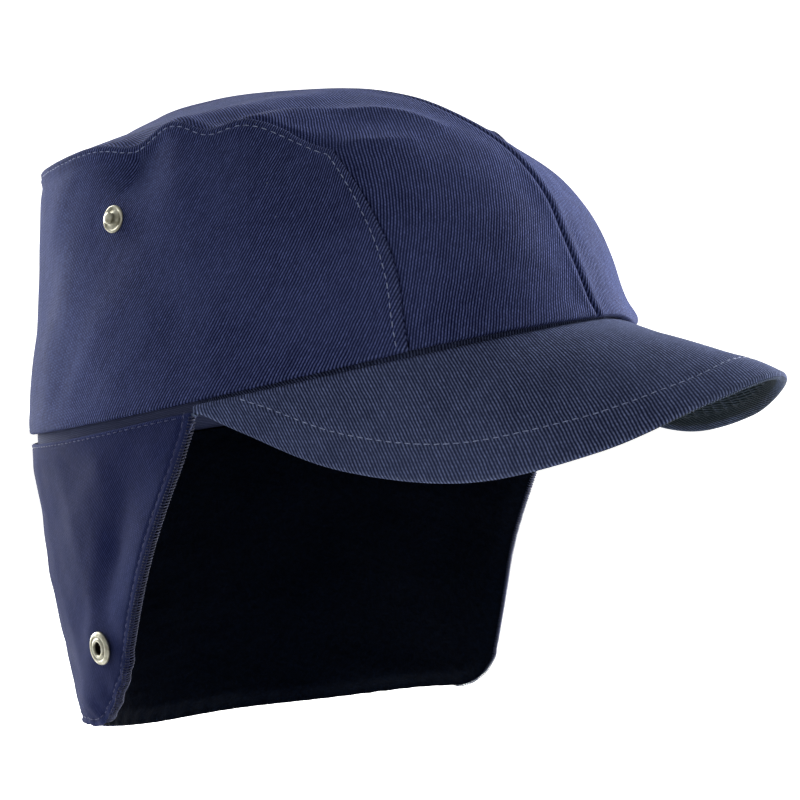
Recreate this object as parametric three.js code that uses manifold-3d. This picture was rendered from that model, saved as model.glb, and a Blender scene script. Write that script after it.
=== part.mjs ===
import * as THREE from 'three'
import { mergeVertices } from 'three/addons/utils/BufferGeometryUtils.js'
import Module from 'manifold-3d'

// A winter cap: four crown panels, a curved cloth peak, and a lined flap that hangs round the neck and ears.
// Millimetres, +Z up as worn. The peak points to -Y and the wearer's right is -X.
// The origin is the centre of the head opening, level with the middle of the crown's hem.
// Tables give forward (towards the peak), side (towards the wearer's left) and up.
// The crown's tables are for its left half, and its right half mirrors them.

const wasm = await Module()
wasm.setup()

// Driving dimensions
const hemHalfLength = 103
const hemHalfWidth = 82.2
const hemRise = 24.8
const hemCurl = 3.6
const crownWall = 1.5
const seamGap = 0.3
const peakLayerGap = 0.55
const flapLayerGap = 0.5
const peakLayer = 1.0
const peakCornerAngle = 77.5
const flapOuterWall = 1.3
const flapLiningWall = 2.7
const flapTopBelowHem = 4.5
const liningTopBelowHem = 9.3
const leftCornerRadius = 11
const rightCornerRadius = 18
const bandWall = 1.2
const bandInset = 2.2
const bandTuck = 6
const bandLean = 0.35
const bandDrop = 8.3
const mirrorGap = seamGap / 2

// Facets: both panels at a seam share its points
const seamFacets = 9
const edgeFacets = 22
const frontFacets = 8
const seamShare = seamFacets / (seamFacets + edgeFacets)

// Colours
const cloth = { color: 0x2e2f5a, roughness: 0.9, metalness: 0 }
const bandCloth = { color: 0x4a4c70, roughness: 0.9, metalness: 0 }
const fleece = { color: 0x0b0b10, roughness: 1, metalness: 0 }
const snapMetal = { color: 0xb9b4a6, roughness: 0.3, metalness: 1 }

// The seam between front and side panel, from the hem up to the crown's front corner
const frontSeam = [
  { forward: 78.1, side: 53.5, up: 22.9 },
  { forward: 74.4, side: 51.6, up: 32.2 },
  { forward: 72.2, side: 50.6, up: 40.6 },
  { forward: 68.9, side: 50.0, up: 48.9 },
  { forward: 63.6, side: 49.2, up: 57.0 },
  { forward: 56.2, side: 47.9, up: 65.4 },
  { forward: 43.0, side: 44.5, up: 76.3 },
]

// The top edge of the side panel, from the front corner to the centre back
const topEdge = [
  { forward: 43.0, side: 44.5, up: 76.3 },
  { forward: 30.0, side: 52.5, up: 80.5 },
  { forward: 20.0, side: 58.0, up: 83.6 },
  { forward: 8.0, side: 62.5, up: 80.9 },
  { forward: -6.0, side: 65.5, up: 83.8 },
  { forward: -22.0, side: 66.5, up: 79.5 },
  { forward: -38.0, side: 65.0, up: 75.0 },
  { forward: -56.0, side: 59.5, up: 70.5 },
  { forward: -74.0, side: 48.5, up: 66.5 },
  { forward: -90.0, side: 29.0, up: 62.5 },
  { forward: -98.0, side: 0, up: 60.5 },
]

// The centre seam, from the peak over the top to the centre back
const ridge = [
  { forward: 103.0, side: 0, up: 29.2 },
  { forward: 96.6, side: 0, up: 41.9 },
  { forward: 90.9, side: 0, up: 52.4 },
  { forward: 84.8, side: 0, up: 63.3 },
  { forward: 72.2, side: 0, up: 75.3 },
  { forward: 45.9, side: 0, up: 87.3 },
  { forward: 22.7, side: 0, up: 92.2 },
  { forward: -9.8, side: 0, up: 92.3 },
  { forward: -45.0, side: 0, up: 89.2 },
  { forward: -74.0, side: 0, up: 81.5 },
  { forward: -98.0, side: 0, up: 60.5 },
]

// The centre back, from the hem up to the top edge
const backSeam = [
  { forward: -103.0, side: 0, up: -21.8 },
  { forward: -104.8, side: 0, up: -10.0 },
  { forward: -103.6, side: 0, up: 8.0 },
  { forward: -101.6, side: 0, up: 32.0 },
  { forward: -98.0, side: 0, up: 60.5 },
]

// Dents and swells of the soft crown: a place, a reach, and the push there
const crownDents = [
  { forward: -12, side: 68, up: 76, reach: 13, pushUp: -6, pushSide: -2.5 },
  { forward: -16, side: 74, up: 48, reach: 20, pushUp: 0, pushSide: -2 },
  { forward: 34, side: 30, up: 84, reach: 14, pushUp: -2, pushSide: 0 },
  { forward: -1, side: 64, up: 80, reach: 8, pushUp: 3.2, pushSide: 0 },
  { forward: 24, side: 56, up: 82, reach: 9, pushUp: 1.6, pushSide: 0 },
]

// The crown's left half also sags, between the centre seam and the hem
const leftSags = [
  { forward: 23, side: 50, up: 91, reach: 33, pushUp: -5.7, pushSide: 0 },
  { forward: 52, side: 19, up: 68, reach: 37, pushUp: -4.9, pushSide: -0.9 },
]
const sagFromSeam = 18
const sagFromUp = 29
const sagFullUp = 50

// The peak's outer edge, by angle round from its middle to its corner
const peakEdge = [
  { angle: -15, forward: 153.1, side: -20.4, up: 12.6 },
  { angle: 0, forward: 160.8, side: 0, up: 18.3 },
  { angle: 15, forward: 153.1, side: 20.4, up: 12.6 },
  { angle: 30, forward: 131.8, side: 39.6, up: -0.6 },
  { angle: 45, forward: 100.3, side: 55.8, up: -10.8 },
  { angle: 60, forward: 65.5, side: 68.5, up: -10 },
  { angle: 75, forward: 36, side: 76.6, up: -1.6 },
  { angle: 90, forward: 23.8, side: 82.8, up: 4.2 },
]
const peakSwell = 1.8

// The hanging flap, by angle round the hem from its left front edge, past the back, to its right front edge
const flapStations = [
  { angle: 77.5, midForward: 12, midSide: 86, midUp: -55, endForward: 1, endSide: 86, endUp: -115 },
  { angle: 100, midForward: -18, midSide: 84, midUp: -60, endForward: -33, endSide: 80, endUp: -122 },
  { angle: 125, midForward: -62, midSide: 67, midUp: -66, endForward: -59, endSide: 62, endUp: -127 },
  { angle: 150, midForward: -87, midSide: 42, midUp: -72, endForward: -79, endSide: 37, endUp: -129 },
  { angle: 180, midForward: -97, midSide: 1, midUp: -73, endForward: -87, endSide: 3, endUp: -128 },
  { angle: 210, midForward: -86, midSide: -36, midUp: -68, endForward: -78, endSide: -25, endUp: -121 },
  { angle: 235, midForward: -61, midSide: -62, midUp: -61, endForward: -61, endSide: -48, endUp: -111 },
  { angle: 260, midForward: -26, midSide: -80, midUp: -54, endForward: -34, endSide: -72, endUp: -101 },
  { angle: 282.5, midForward: 0, midSide: -84.5, midUp: -50, endForward: -12, endSide: -79, endUp: -98 },
]

// Soft folds down the flap's upper part: where round the hem, how wide in degrees, and how far out
const foldedPart = 0.78
const flapFolds = [
  { angle: 96, spread: 6, depth: 1.8 },
  { angle: 140, spread: 9, depth: -1.8 },
  { angle: 178, spread: 8, depth: 1.5 },
  { angle: 222, spread: 9, depth: -1.5 },
  { angle: 270, spread: 5, depth: -2 },
]

// Snaps: where they sit, as parts of the way across and up or down the cloth
const studAcross = 0.4
const studUp = 0.69
const socketAcross = 0.105
const socketDown = 0.683

const radians = THREE.MathUtils.degToRad

function place(forward, side, up) {
  return new THREE.Vector3(side, -forward, up)
}

function curveThrough(rows) {
  const points = rows.map((row) => place(row.forward, row.side, row.up))
  return new THREE.CatmullRomCurve3(points, false, 'centripetal')
}

// A smooth value between a table's rows, found by one of its columns
function lookUp(rows, keyColumn, column, key) {
  const last = rows.length - 1
  let row = 0
  while (row < last - 1 && key > rows[row + 1][keyColumn]) row += 1
  const span = rows[row + 1][keyColumn] - rows[row][keyColumn]
  const part = (key - rows[row][keyColumn]) / span
  const value = (index) => rows[THREE.MathUtils.clamp(index, 0, last)][column]
  const slope = (index) => {
    const before = THREE.MathUtils.clamp(index - 1, 0, last)
    const after = THREE.MathUtils.clamp(index + 1, 0, last)
    return (rows[after][column] - rows[before][column]) / (rows[after][keyColumn] - rows[before][keyColumn])
  }
  const square = part * part
  const cube = square * part
  return (
    value(row) * (2 * cube - 3 * square + 1) +
    value(row + 1) * (3 * square - 2 * cube) +
    slope(row) * span * (cube - 2 * square + part) +
    slope(row + 1) * span * (cube - square)
  )
}

// The crown's hem: an oval that rises towards the front
function hemPoint(angle) {
  const forward = Math.cos(radians(angle))
  const up = hemRise * forward + hemCurl * forward * forward
  return place(hemHalfLength * forward, hemHalfWidth * Math.sin(radians(angle)), up)
}

function hemOutward(angle) {
  const across = Math.cos(radians(angle)) / hemHalfLength
  const side = Math.sin(radians(angle)) / hemHalfWidth
  return place(across, side, 0).normalize()
}

const frontSeamCurve = curveThrough(frontSeam)
const topEdgeCurve = curveThrough(topEdge)
const ridgeCurve = curveThrough(ridge)
const backSeamCurve = curveThrough(backSeam)
const seamHemAngle = THREE.MathUtils.radToDeg(Math.acos(frontSeam[0].forward / hemHalfLength))

// The front panel's long side: up the front seam, then back along the top edge
function frontSidePoint(along) {
  if (along < seamShare) return frontSeamCurve.getPointAt(along / seamShare)
  return topEdgeCurve.getPointAt((along - seamShare) / (1 - seamShare))
}

// A patch stretched between four curves that meet at its corners
function patch(bottom, top, start, end) {
  return (across, up) => {
    const point = bottom(across).multiplyScalar(1 - up)
    point.addScaledVector(top(across), up)
    point.addScaledVector(start(up), 1 - across)
    point.addScaledVector(end(up), across)
    point.addScaledVector(bottom(0), -(1 - across) * (1 - up))
    point.addScaledVector(bottom(1), -across * (1 - up))
    point.addScaledVector(top(0), -(1 - across) * up)
    point.addScaledVector(top(1), -across * up)
    return point
  }
}

// Outward from the crown's middle: across its thickness, every panel shares this direction
function crownOutward(point) {
  const scaled = new THREE.Vector3(point.x / 82, (point.y - 5) / 100, (point.z - 12) / 88)
  scaled.z = Math.max(scaled.z, 0)
  return new THREE.Vector3(scaled.x / 82, scaled.y / 100, (scaled.z * scaled.z) / 88).normalize()
}

function dented(point, dents = crownDents, share = 1) {
  const moved = point.clone()
  for (const dent of dents) {
    const centre = place(dent.forward, dent.side, dent.up)
    const strength = share * Math.exp(-point.distanceToSquared(centre) / (dent.reach * dent.reach))
    moved.addScaledVector(place(0, dent.pushSide, dent.pushUp), strength)
  }
  return moved
}

const sidePatch = patch(
  (across) => hemPoint(seamHemAngle + across * (180 - seamHemAngle)),
  (across) => topEdgeCurve.getPointAt(across),
  (up) => frontSeamCurve.getPointAt(up),
  (up) => backSeamCurve.getPointAt(up),
)

const frontPatch = patch(
  (across) => hemPoint(across * seamHemAngle),
  () => place(ridge.at(-1).forward, 0, ridge.at(-1).up),
  (along) => ridgeCurve.getPointAt(along),
  (along) => frontSidePoint(along),
)

// Both panels swell outwards between their seams
const sideSwell = 1.5
const frontSwell = 0.6

function sidePanel(across, up) {
  const point = sidePatch(across, up)
  const swell = sideSwell * Math.sin(Math.PI * across ** 0.75) ** 2 * 4 * up * (1 - up)
  point.addScaledVector(crownOutward(point).setZ(0).normalize(), swell)
  return dented(point).add(place(-seamGap, mirrorGap, -seamGap))
}

function frontPanel(across, along) {
  const point = frontPatch(across, along)
  const swell = frontSwell * Math.sin(Math.PI * along) * 4 * across * (1 - across)
  point.addScaledVector(crownOutward(point), swell)
  return dented(point).add(place(0, mirrorGap, 0))
}

// A surface of the left half with its sags
function sagged(surface) {
  return (across, up) => {
    const point = surface(across, up)
    const besideSeam = THREE.MathUtils.smoothstep(point.x, mirrorGap, sagFromSeam)
    const aboveHem = THREE.MathUtils.smoothstep(point.z, sagFromUp, sagFullUp)
    return dented(point, leftSags, besideSeam * aboveHem)
  }
}

// A surface's own outward direction, from its two slopes
function normalOf(surface) {
  const step = 1e-3
  return (across, up) => {
    const acrossBefore = surface(Math.max(0, across - step), up)
    const acrossAfter = surface(Math.min(1, across + step), up)
    const upBefore = surface(across, Math.max(0, up - step))
    const upAfter = surface(across, Math.min(1, up + step))
    return acrossAfter.sub(acrossBefore).cross(upAfter.sub(upBefore)).normalize()
  }
}

// The same surface on the wearer's right
function mirrored(surface) {
  return (across, up) => {
    const point = surface(1 - across, up)
    return point.setX(-point.x)
  }
}

function weld(geometry) {
  geometry.deleteAttribute('normal')
  geometry.deleteAttribute('uv')
  const welded = mergeVertices(geometry, 1e-3)
  const corners = welded.index.array
  const kept = []
  for (let i = 0; i < corners.length; i += 3) {
    const [a, b, c] = [corners[i], corners[i + 1], corners[i + 2]]
    if (a !== b && b !== c && c !== a) kept.push(a, b, c)
  }
  welded.setIndex(kept)
  return welded
}

// A closed sheet of cloth: its outer face follows the surface, its inner face lies a wall's thickness inside
function sheet(surface, outward, columns, rows, wall, inset = 0) {
  const geometry = new THREE.BoxGeometry(1, 1, 1, columns, rows, 1)
  const places = geometry.attributes.position
  for (let i = 0; i < places.count; i += 1) {
    const across = places.getX(i) + 0.5
    const up = places.getY(i) + 0.5
    const depth = places.getZ(i) > 0 ? inset : inset + wall
    const point = surface(across, up)
    point.addScaledVector(outward(across, up, point), -depth)
    places.setXYZ(i, point.x, point.y, point.z)
  }
  return weld(geometry)
}

const drillReach = 12

function solidOf(geometry) {
  return new wasm.Manifold(new wasm.Mesh({
    numProp: 3,
    vertProperties: new Float32Array(geometry.attributes.position.array),
    triVerts: new Uint32Array(geometry.index.array),
  }))
}

// Cuts a round hole into a sheet, square to the cloth, from outside to a depth below the surface
function pierced(geometry, centre, direction, diameter, depth) {
  const drill = new THREE.CylinderGeometry(diameter / 2, diameter / 2, drillReach + depth, 12)
  drill.translate(0, (drillReach - depth) / 2, 0)
  drill.applyQuaternion(new THREE.Quaternion().setFromUnitVectors(new THREE.Vector3(0, 1, 0), direction))
  drill.translate(centre.x, centre.y, centre.z)
  const mesh = solidOf(geometry).subtract(solidOf(weld(drill))).getMesh()
  const result = new THREE.BufferGeometry()
  result.setAttribute('position', new THREE.BufferAttribute(mesh.vertProperties, 3))
  result.setIndex(new THREE.BufferAttribute(mesh.triVerts, 1))
  return result
}

// The peak: each ruling starts inside the crown, turns out under the hem and runs to the outer edge
const tuckRise = 5
const tuckInset = 2.4
const peakDropUnderHem = 0.6
const tuckPart = 0.1
const turnPart = 0.2
const underMargin = 3.6

function peakEdgePoint(angle) {
  const turn = Math.abs(angle)
  const side = Math.sign(angle) * lookUp(peakEdge, 'angle', 'side', turn)
  return place(lookUp(peakEdge, 'angle', 'forward', turn), side, lookUp(peakEdge, 'angle', 'up', turn))
}

function peakLean(hemAngle) {
  return 0.52 - 0.4 * THREE.MathUtils.smoothstep(Math.abs(hemAngle), 40, 78)
}

function peakSurface(tucked) {
  return (across, out) => {
    const turn = 1 - 2 * across
    const hemAngle = turn * peakCornerAngle
    const hem = hemPoint(hemAngle).setZ(hemPoint(hemAngle).z - peakDropUnderHem)
    const outward = hemOutward(hemAngle)
    if (tucked && out < turnPart) {
      const rise = out < tuckPart ? tuckRise * (1 - out / tuckPart) : 0
      const inset = tuckInset - (out < tuckPart ? 0 : (out - tuckPart) / (turnPart - tuckPart)) * tuckInset
      const lean = peakLean(hemAngle) * rise
      return hem.addScaledVector(outward, -inset - lean).setZ(hem.z + rise)
    }
    const edge = peakEdgePoint(turn * 90)
    const underStart = Math.min(0.7, underMargin / hem.distanceTo(edge))
    const run = tucked ? (out - turnPart) / (1 - turnPart) : underStart + out * (1 - underStart)
    const point = hem.lerp(edge, run)
    point.z += peakSwell * 4 * run * (1 - run) * Math.cos(radians(turn * 90)) ** 0.5
    return point
  }
}

// The flap: each station falls from the hem through its middle to its lower end
function flapPoint(angle, down) {
  const top = hemPoint(angle)
  const column = (name) => lookUp(flapStations, 'angle', name, angle)
  const middle = place(column('midForward'), column('midSide'), column('midUp'))
  const end = place(column('endForward'), column('endSide'), column('endUp'))
  const point = top.multiplyScalar((1 - down) * (1 - 2 * down))
  point.addScaledVector(middle, 4 * down * (1 - down))
  point.addScaledVector(end, down * (2 * down - 1))
  for (const fold of flapFolds) {
    const fallen = Math.sin(Math.PI * Math.min(1, down / foldedPart)) ** 2
    const near = Math.exp(-(((angle - fold.angle) / fold.spread) ** 2))
    point.addScaledVector(hemOutward(angle), fold.depth * fallen * near)
  }
  return point
}

const flapStart = flapStations[0].angle
const flapEnd = flapStations.at(-1).angle
const flapLength = 106

// Stations stand closer together at both front edges, where the lower corners are round
function flapAngle(across) {
  const eased = across - (0.55 / (2 * Math.PI)) * Math.sin(2 * Math.PI * across)
  return flapStart + (flapEnd - flapStart) * eased
}

function flapReach(angle) {
  const [radius, turn] = angle < 180 ? [leftCornerRadius, angle - flapStart] : [rightCornerRadius, flapEnd - angle]
  const part = THREE.MathUtils.clamp(1 - (radians(turn) * hemHalfWidth) / radius, 0, 1)
  return 1 - (radius * (1 - Math.sqrt(1 - part * part))) / flapLength
}

function flapSurface(topBelowHem) {
  return (across, up) => {
    const angle = flapAngle(across)
    const from = topBelowHem / flapLength
    return flapPoint(angle, from + (1 - up) * (flapReach(angle) - from))
  }
}

function bandSurface(across, up) {
  const angle = flapAngle(across)
  const height = -bandDrop + up * (bandDrop + bandTuck)
  if (height < 0) return flapPoint(angle, -height / flapLength)
  return hemPoint(angle).addScaledVector(hemOutward(angle), -bandLean * height).add(place(0, 0, height))
}

// Snaps: turned spools whose barrel goes through the cloth, standing along their own +Y.
// A socket's back lies in a pocket of the lining, which covers it.
const snapBarrel = 1.5
const snapHole = 4.0
const snapSides = 16
const socketBackRadius = 4.9
const socketBackDepth = 1.1
const socketBackRoom = 0.4

function turned(rows) {
  const outline = rows.map((row) => new THREE.Vector2(row.radius, row.height))
  outline.push(outline[0].clone())
  return weld(new THREE.LatheGeometry(outline, snapSides))
}

function studGeometry(wall) {
  return turned([
    { radius: 0, height: -wall - 1.2 },
    { radius: 3.8, height: -wall - 1.2 },
    { radius: 4.0, height: -wall - 0.7 },
    { radius: snapBarrel, height: -wall - 0.7 },
    { radius: snapBarrel, height: 0.35 },
    { radius: 4.1, height: 0.35 },
    { radius: 3.7, height: 1.0 },
    { radius: 1.7, height: 1.2 },
    { radius: 1.4, height: 1.7 },
    { radius: 1.8, height: 2.2 },
    { radius: 1.6, height: 2.9 },
    { radius: 0, height: 3.3 },
  ])
}

function socketGeometry(wall) {
  return turned([
    { radius: 0, height: -wall - socketBackDepth },
    { radius: socketBackRadius - 0.3, height: -wall - socketBackDepth },
    { radius: socketBackRadius, height: -wall - 0.4 },
    { radius: snapBarrel, height: -wall - 0.4 },
    { radius: snapBarrel, height: 0.4 },
    { radius: 5.0, height: 0.4 },
    { radius: 5.0, height: 1.2 },
    { radius: 4.2, height: 2.2 },
    { radius: 2.7, height: 2.4 },
    { radius: 2.2, height: 1.8 },
    { radius: 2.2, height: 0.9 },
    { radius: 0, height: 0.9 },
  ])
}

const cap = new THREE.Group()

function addPiece(name, geometry, finish) {
  const mesh = new THREE.Mesh(geometry, new THREE.MeshStandardMaterial(finish))
  mesh.name = name
  cap.add(mesh)
  return mesh
}

function addSnap(name, geometry, centre, outward) {
  const snap = addPiece(name, geometry, snapMetal)
  snap.position.copy(centre)
  snap.quaternion.setFromUnitVectors(new THREE.Vector3(0, 1, 0), outward)
}

function addCrown() {
  const outward = (across, up, point) => crownOutward(point)
  const sides = [
    ['left', sagged(sidePanel), sagged(frontPanel), studAcross],
    ['right', mirrored(sidePanel), mirrored(frontPanel), 1 - studAcross],
  ]
  for (const [hand, side, front, across] of sides) {
    const centre = side(across, studUp)
    const direction = normalOf(side)(across, studUp)
    const panel = sheet(side, outward, edgeFacets, seamFacets, crownWall)
    addPiece(`crown_side_${hand}`, pierced(panel, centre, direction, snapHole, drillReach), cloth)
    addPiece(`crown_front_${hand}`, sheet(front, outward, frontFacets, seamFacets + edgeFacets, crownWall), cloth)
    addSnap(`snap_stud_${hand}`, studGeometry(crownWall), centre, direction)
  }
}

function addPeak() {
  const upper = peakSurface(true)
  const under = peakSurface(false)
  addPiece('peak_upper', sheet(upper, normalOf(upper), 26, 10, peakLayer), cloth)
  addPiece('peak_under', sheet(under, normalOf(under), 26, 8, peakLayer, peakLayer + peakLayerGap), cloth)
}

function addFlap() {
  const outer = flapSurface(flapTopBelowHem)
  const lining = flapSurface(liningTopBelowHem)
  const liningInset = flapOuterWall + flapLayerGap
  const pocketDiameter = 2 * (socketBackRadius + socketBackRoom)
  const pocketDepth = flapOuterWall + socketBackDepth + socketBackRoom
  let outerSheet = sheet(outer, normalOf(outer), 40, 9, flapOuterWall)
  let liningSheet = sheet(lining, normalOf(lining), 40, 9, flapLiningWall, liningInset)
  for (const [hand, across] of [['left', socketAcross], ['right', 1 - socketAcross]]) {
    const centre = outer(across, 1 - socketDown)
    const direction = normalOf(outer)(across, 1 - socketDown)
    outerSheet = pierced(outerSheet, centre, direction, snapHole, drillReach)
    liningSheet = pierced(liningSheet, centre, direction, pocketDiameter, pocketDepth)
    addSnap(`snap_socket_${hand}`, socketGeometry(flapOuterWall), centre, direction)
  }
  addPiece('flap_outer', outerSheet, cloth)
  addPiece('flap_lining', liningSheet, fleece)
  addPiece('flap_band', sheet(bandSurface, (across) => hemOutward(flapAngle(across)), 40, 2, bandWall, bandInset), bandCloth)
}

addCrown()
addPeak()
addFlap()

export default cap
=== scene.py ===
"""A navy twill winter cap with a curved peak and a lined flap that hangs round the neck and ears."""

import math

import bmesh
import bpy
import numpy as np
from mathutils import Matrix, Vector


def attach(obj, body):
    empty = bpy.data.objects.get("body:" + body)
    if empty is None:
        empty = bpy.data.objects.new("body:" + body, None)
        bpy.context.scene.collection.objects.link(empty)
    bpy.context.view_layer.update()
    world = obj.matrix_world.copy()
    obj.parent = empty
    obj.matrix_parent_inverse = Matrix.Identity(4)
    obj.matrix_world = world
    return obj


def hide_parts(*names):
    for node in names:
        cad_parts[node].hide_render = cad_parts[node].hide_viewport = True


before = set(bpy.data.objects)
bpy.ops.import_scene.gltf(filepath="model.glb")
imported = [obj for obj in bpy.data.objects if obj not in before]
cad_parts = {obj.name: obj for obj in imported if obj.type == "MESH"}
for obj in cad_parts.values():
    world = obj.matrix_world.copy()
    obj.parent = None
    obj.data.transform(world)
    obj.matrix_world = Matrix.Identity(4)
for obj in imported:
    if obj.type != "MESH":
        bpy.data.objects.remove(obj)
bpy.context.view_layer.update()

# Shapes are worked out in millimetres, +Z up as worn, and meshes are made in metres.
# Tables give forward (towards the peak), side (towards the wearer's left) and up.
# The crown's tables are for its left half, and its right half mirrors them.
MM = 0.001


def table(columns, *rows):
    """A short table as one array for each named column."""
    return {name: np.array(column, float) for name, column in zip(columns.split(), zip(*rows))}


def fold_line(*places, height, width):
    """A fold: its line of (across, up) places on a panel, its height and its width."""
    return {"height": height, "width": width, **table("across up", *places)}


# Crown. A pair for a tuck gives its middle and width, as shares of the panel.
HEM_HALF_LENGTH = 103.0
HEM_HALF_WIDTH = 82.2
HEM_RISE = 24.8
HEM_CURL = 3.6
CROWN_WALL = 1.5
CROWN_MIDDLE = (0, 5, 12)
CROWN_SIZE = (82, 100, 88)
SEAM_GAP = 0.3
SIDE_SWELL = 1.5
FRONT_SWELL = 0.6
LAP_RISE = 0.95
UNDER_LAP_DROP = 0.5
FRONT_HEM_RISE = 0.7
LIP_REACH = 6
LEFT_DROP = 4.0
LEFT_DROP_SPOT = (31.0, -95.6, 26.0)
LEFT_DROP_REACH = 15
BACK_TUCK = {"left": 0.0, "right": 2.0}
BACK_TUCK_ACROSS = (0.63, 0.13)
BACK_TUCK_UP = (0.52, 0.2)
LAP_PUCKER_PACE = 1.3
LAP_PUCKER_DRIFT = 0.7
MARGIN_PULL = 0.3
GIRTH_RADIUS = 92
# How strongly a painted highlight lies along the crests of the front panels' creases.
CREASE_PAINTED_HIGHLIGHT = 0.35
CROWN_SEEDS = {"left": 4, "right": 3}
FRONT_SEED_STEP = 2

# Peak. A ripple gives its size and seed, and then how many waves it sums.
PEAK_LAYER = 1.0
PEAK_LAYER_GAP = 0.55
PEAK_THICKNESS = 2.55
PEAK_CORNER = 77.5
PEAK_SWELL = 1.8
PEAK_DROP = 0.6
RIM_PINCH = 0.22
LEFT_SAG = 1.3
LEFT_LIFT = 0.7
LEFT_LIFT_REACH = 18
PUCKER_PITCH = 5.6
PUCKER_WANDER = 1.6
PUCKER_RIPPLE = (30, 21)
PEAK_SEED = 7

# Flap and its band. Its tuck's pairs give a middle and width, in mm and as a share of the fall.
FLAP_LENGTH = 106.0
FLAP_OUTER_WALL = 1.3
FLAP_LINING_WALL = 2.7
FLAP_LAYER_GAP = 0.5
FLAP_PINCH = 1.1
LINING_EDGE_LIFT = 0.4
SOCKET_POCKET = 0.8
OUTER_BELOW_HEM = 4.5
LINING_BELOW_HEM = 9.3
FOLDED_PART = 0.78
HUNG_POWER = 1.5
STATION_EASE = 0.55
CORNER_RADIUS = {"left": 11.0, "right": 24.0}
LEFT_FLARE = 11.3
LEFT_FLARE_WIDTH = 24
LEFT_FLARE_WAY = (1, -0.2, 0.25)
RIGHT_REACH = 2.4
RIGHT_BILLOW = 1.5
RIGHT_REACH_WIDTH = 10
RIGHT_FOLD = 2.0
TOP_RISE = 0.9
TOP_RISE_AT_FRONTS = 2.0
FOOT_RISE = 0.9
FOOT_RISE_WIDTH = 25
FOOT_RISE_HEIGHT = 14
FLAP_TUCK = 2.0
FLAP_TUCK_START = (213, 28)
FLAP_TUCK_FALL = (0.36, 0.2)
TIP_PUCKER_PITCH = 7.5
PILE_HEIGHT = 0.22
PILE_RIPPLE = (2.6, 9, 24)
FLAP_SEED = 8
BAND_WALL = 1.2
BAND_INSET = 2.2
BAND_TUCK = 6.0
BAND_LEAN = 0.35
BAND_DROP = 8.3
BAND_WAVE = 0.12
BAND_RIPPLE = (20, 12)

# How round the folded edges are
ROUNDS = {
    "lap": 0.8,
    "under_lap": 0.7,
    "seam": 1.2,
    "hem": 0.9,
    "front_hem": 0.55,
    "peak": 1.1,
    "flap": 0.85,
    "lining_face": 0.45,
    "lining_back": 0.4,
}
INNER_ROUND = 0.45

# Stitches and loops
STITCH_INSET = 3.2
TOP_STITCH_INSET = 1.8
PEAK_STITCH_INSET = 10.0
FLAP_TOP_STITCH = 1.15
FLAP_HEM_STITCH = 2.3
STITCH_ABOVE_HEM = 1.2
PEAK_STITCH_HIDDEN = 1.5
STITCH_LENGTH = 2.0
STITCH_VARIETY = (0.9, 1.08)
STITCH_SKEW = 0.05
STITCH_PITCH = 2.75
THREAD_RADIUS = 0.135
THREAD_SINK = -0.16
THREAD_RISE = 0.26
THREAD_END = 0.7
THREAD_SWELL = 0.5
THREAD_FLATNESS = 0.8
STITCH_BOW_POWER = 0.55
THREAD_SIDES = 6
THREAD_STEPS = 9
BORDER_SMOOTHING = 4
EDGING_PITCH = 0.95
EDGING_MARGIN = 1.2
EDGING_FOOT = 26.0
EDGING_REACH = 0.5
EDGING_RADIUS = 0.2
EDGING_WRAP = 115
EDGING_SLANT = 0.35 * EDGING_PITCH
SLANT_VARIETY = (0.5, 1.3)
REACH_VARIETY = (0.85, 1.15)

# Snaps, by shares of the side panel and of the flap
STUD_ACROSS = 0.4
STUD_UP = 0.69
STUD_LEAN = -0.03
STUD_CALM = 13
SOCKET_ACROSS = 0.108
SOCKET_DOWN = 0.693
SOCKET_CALM = 15
HANDS = ("left", "right")

# Each sheet's rough width and height, which set how fine its grid is
CLOTH_STEP = 1.1
CURVE_STEPS = 60
SIDE_GRID = (265, 84)
FRONT_GRID = (62, 285)
PEAK_UPPER_GRID = (300, 70)
PEAK_UNDER_GRID = (300, 55)
FLAP_GIRTH = 330
FLAP_OUTER_HEIGHT = 102
FLAP_LINING_HEIGHT = 97

# Folds of the crown's cloth, and how round their crests are
SIDE_CREST = 0.8
SIDE_FOLDS = {
    "right": fold_line(
        (0.342, 0.993),
        (0.346, 0.977),
        (0.355, 0.958),
        (0.363, 0.917),
        (0.375, 0.839),
        (0.388, 0.773),
        height=-1.1,
        width=2.4,
    ),
    "left": fold_line(
        (0.32, 0.993),
        (0.325, 0.965),
        (0.335, 0.925),
        (0.345, 0.88),
        (0.362, 0.82),
        height=-1.1,
        width=2.4,
    ),
}
FRONT_CREST = 0.45
FRONT_FOLDS = {
    "right": [
        fold_line(
            (0.86, 0.44),
            (0.764, 0.419),
            (0.676, 0.403),
            (0.553, 0.392),
            (0.412, 0.372),
            (0.324, 0.349),
            (0.289, 0.314),
            (0.27, 0.29),
            height=2.3,
            width=4.0,
        ),
        fold_line(
            (0.97, 0.302),
            (0.921, 0.299),
            (0.834, 0.295),
            (0.764, 0.287),
            (0.658, 0.284),
            (0.52, 0.278),
            height=1.6,
            width=2.6,
        ),
    ],
    "left": [
        fold_line(
            (0.85, 0.43),
            (0.74, 0.408),
            (0.62, 0.39),
            (0.47, 0.372),
            (0.35, 0.345),
            (0.28, 0.31),
            height=0.6,
            width=5.5,
        ),
        fold_line(
            (0.95, 0.31),
            (0.85, 0.302),
            (0.72, 0.298),
            (0.6, 0.29),
            height=0.3,
            width=3.4,
        ),
    ],
}

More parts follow.
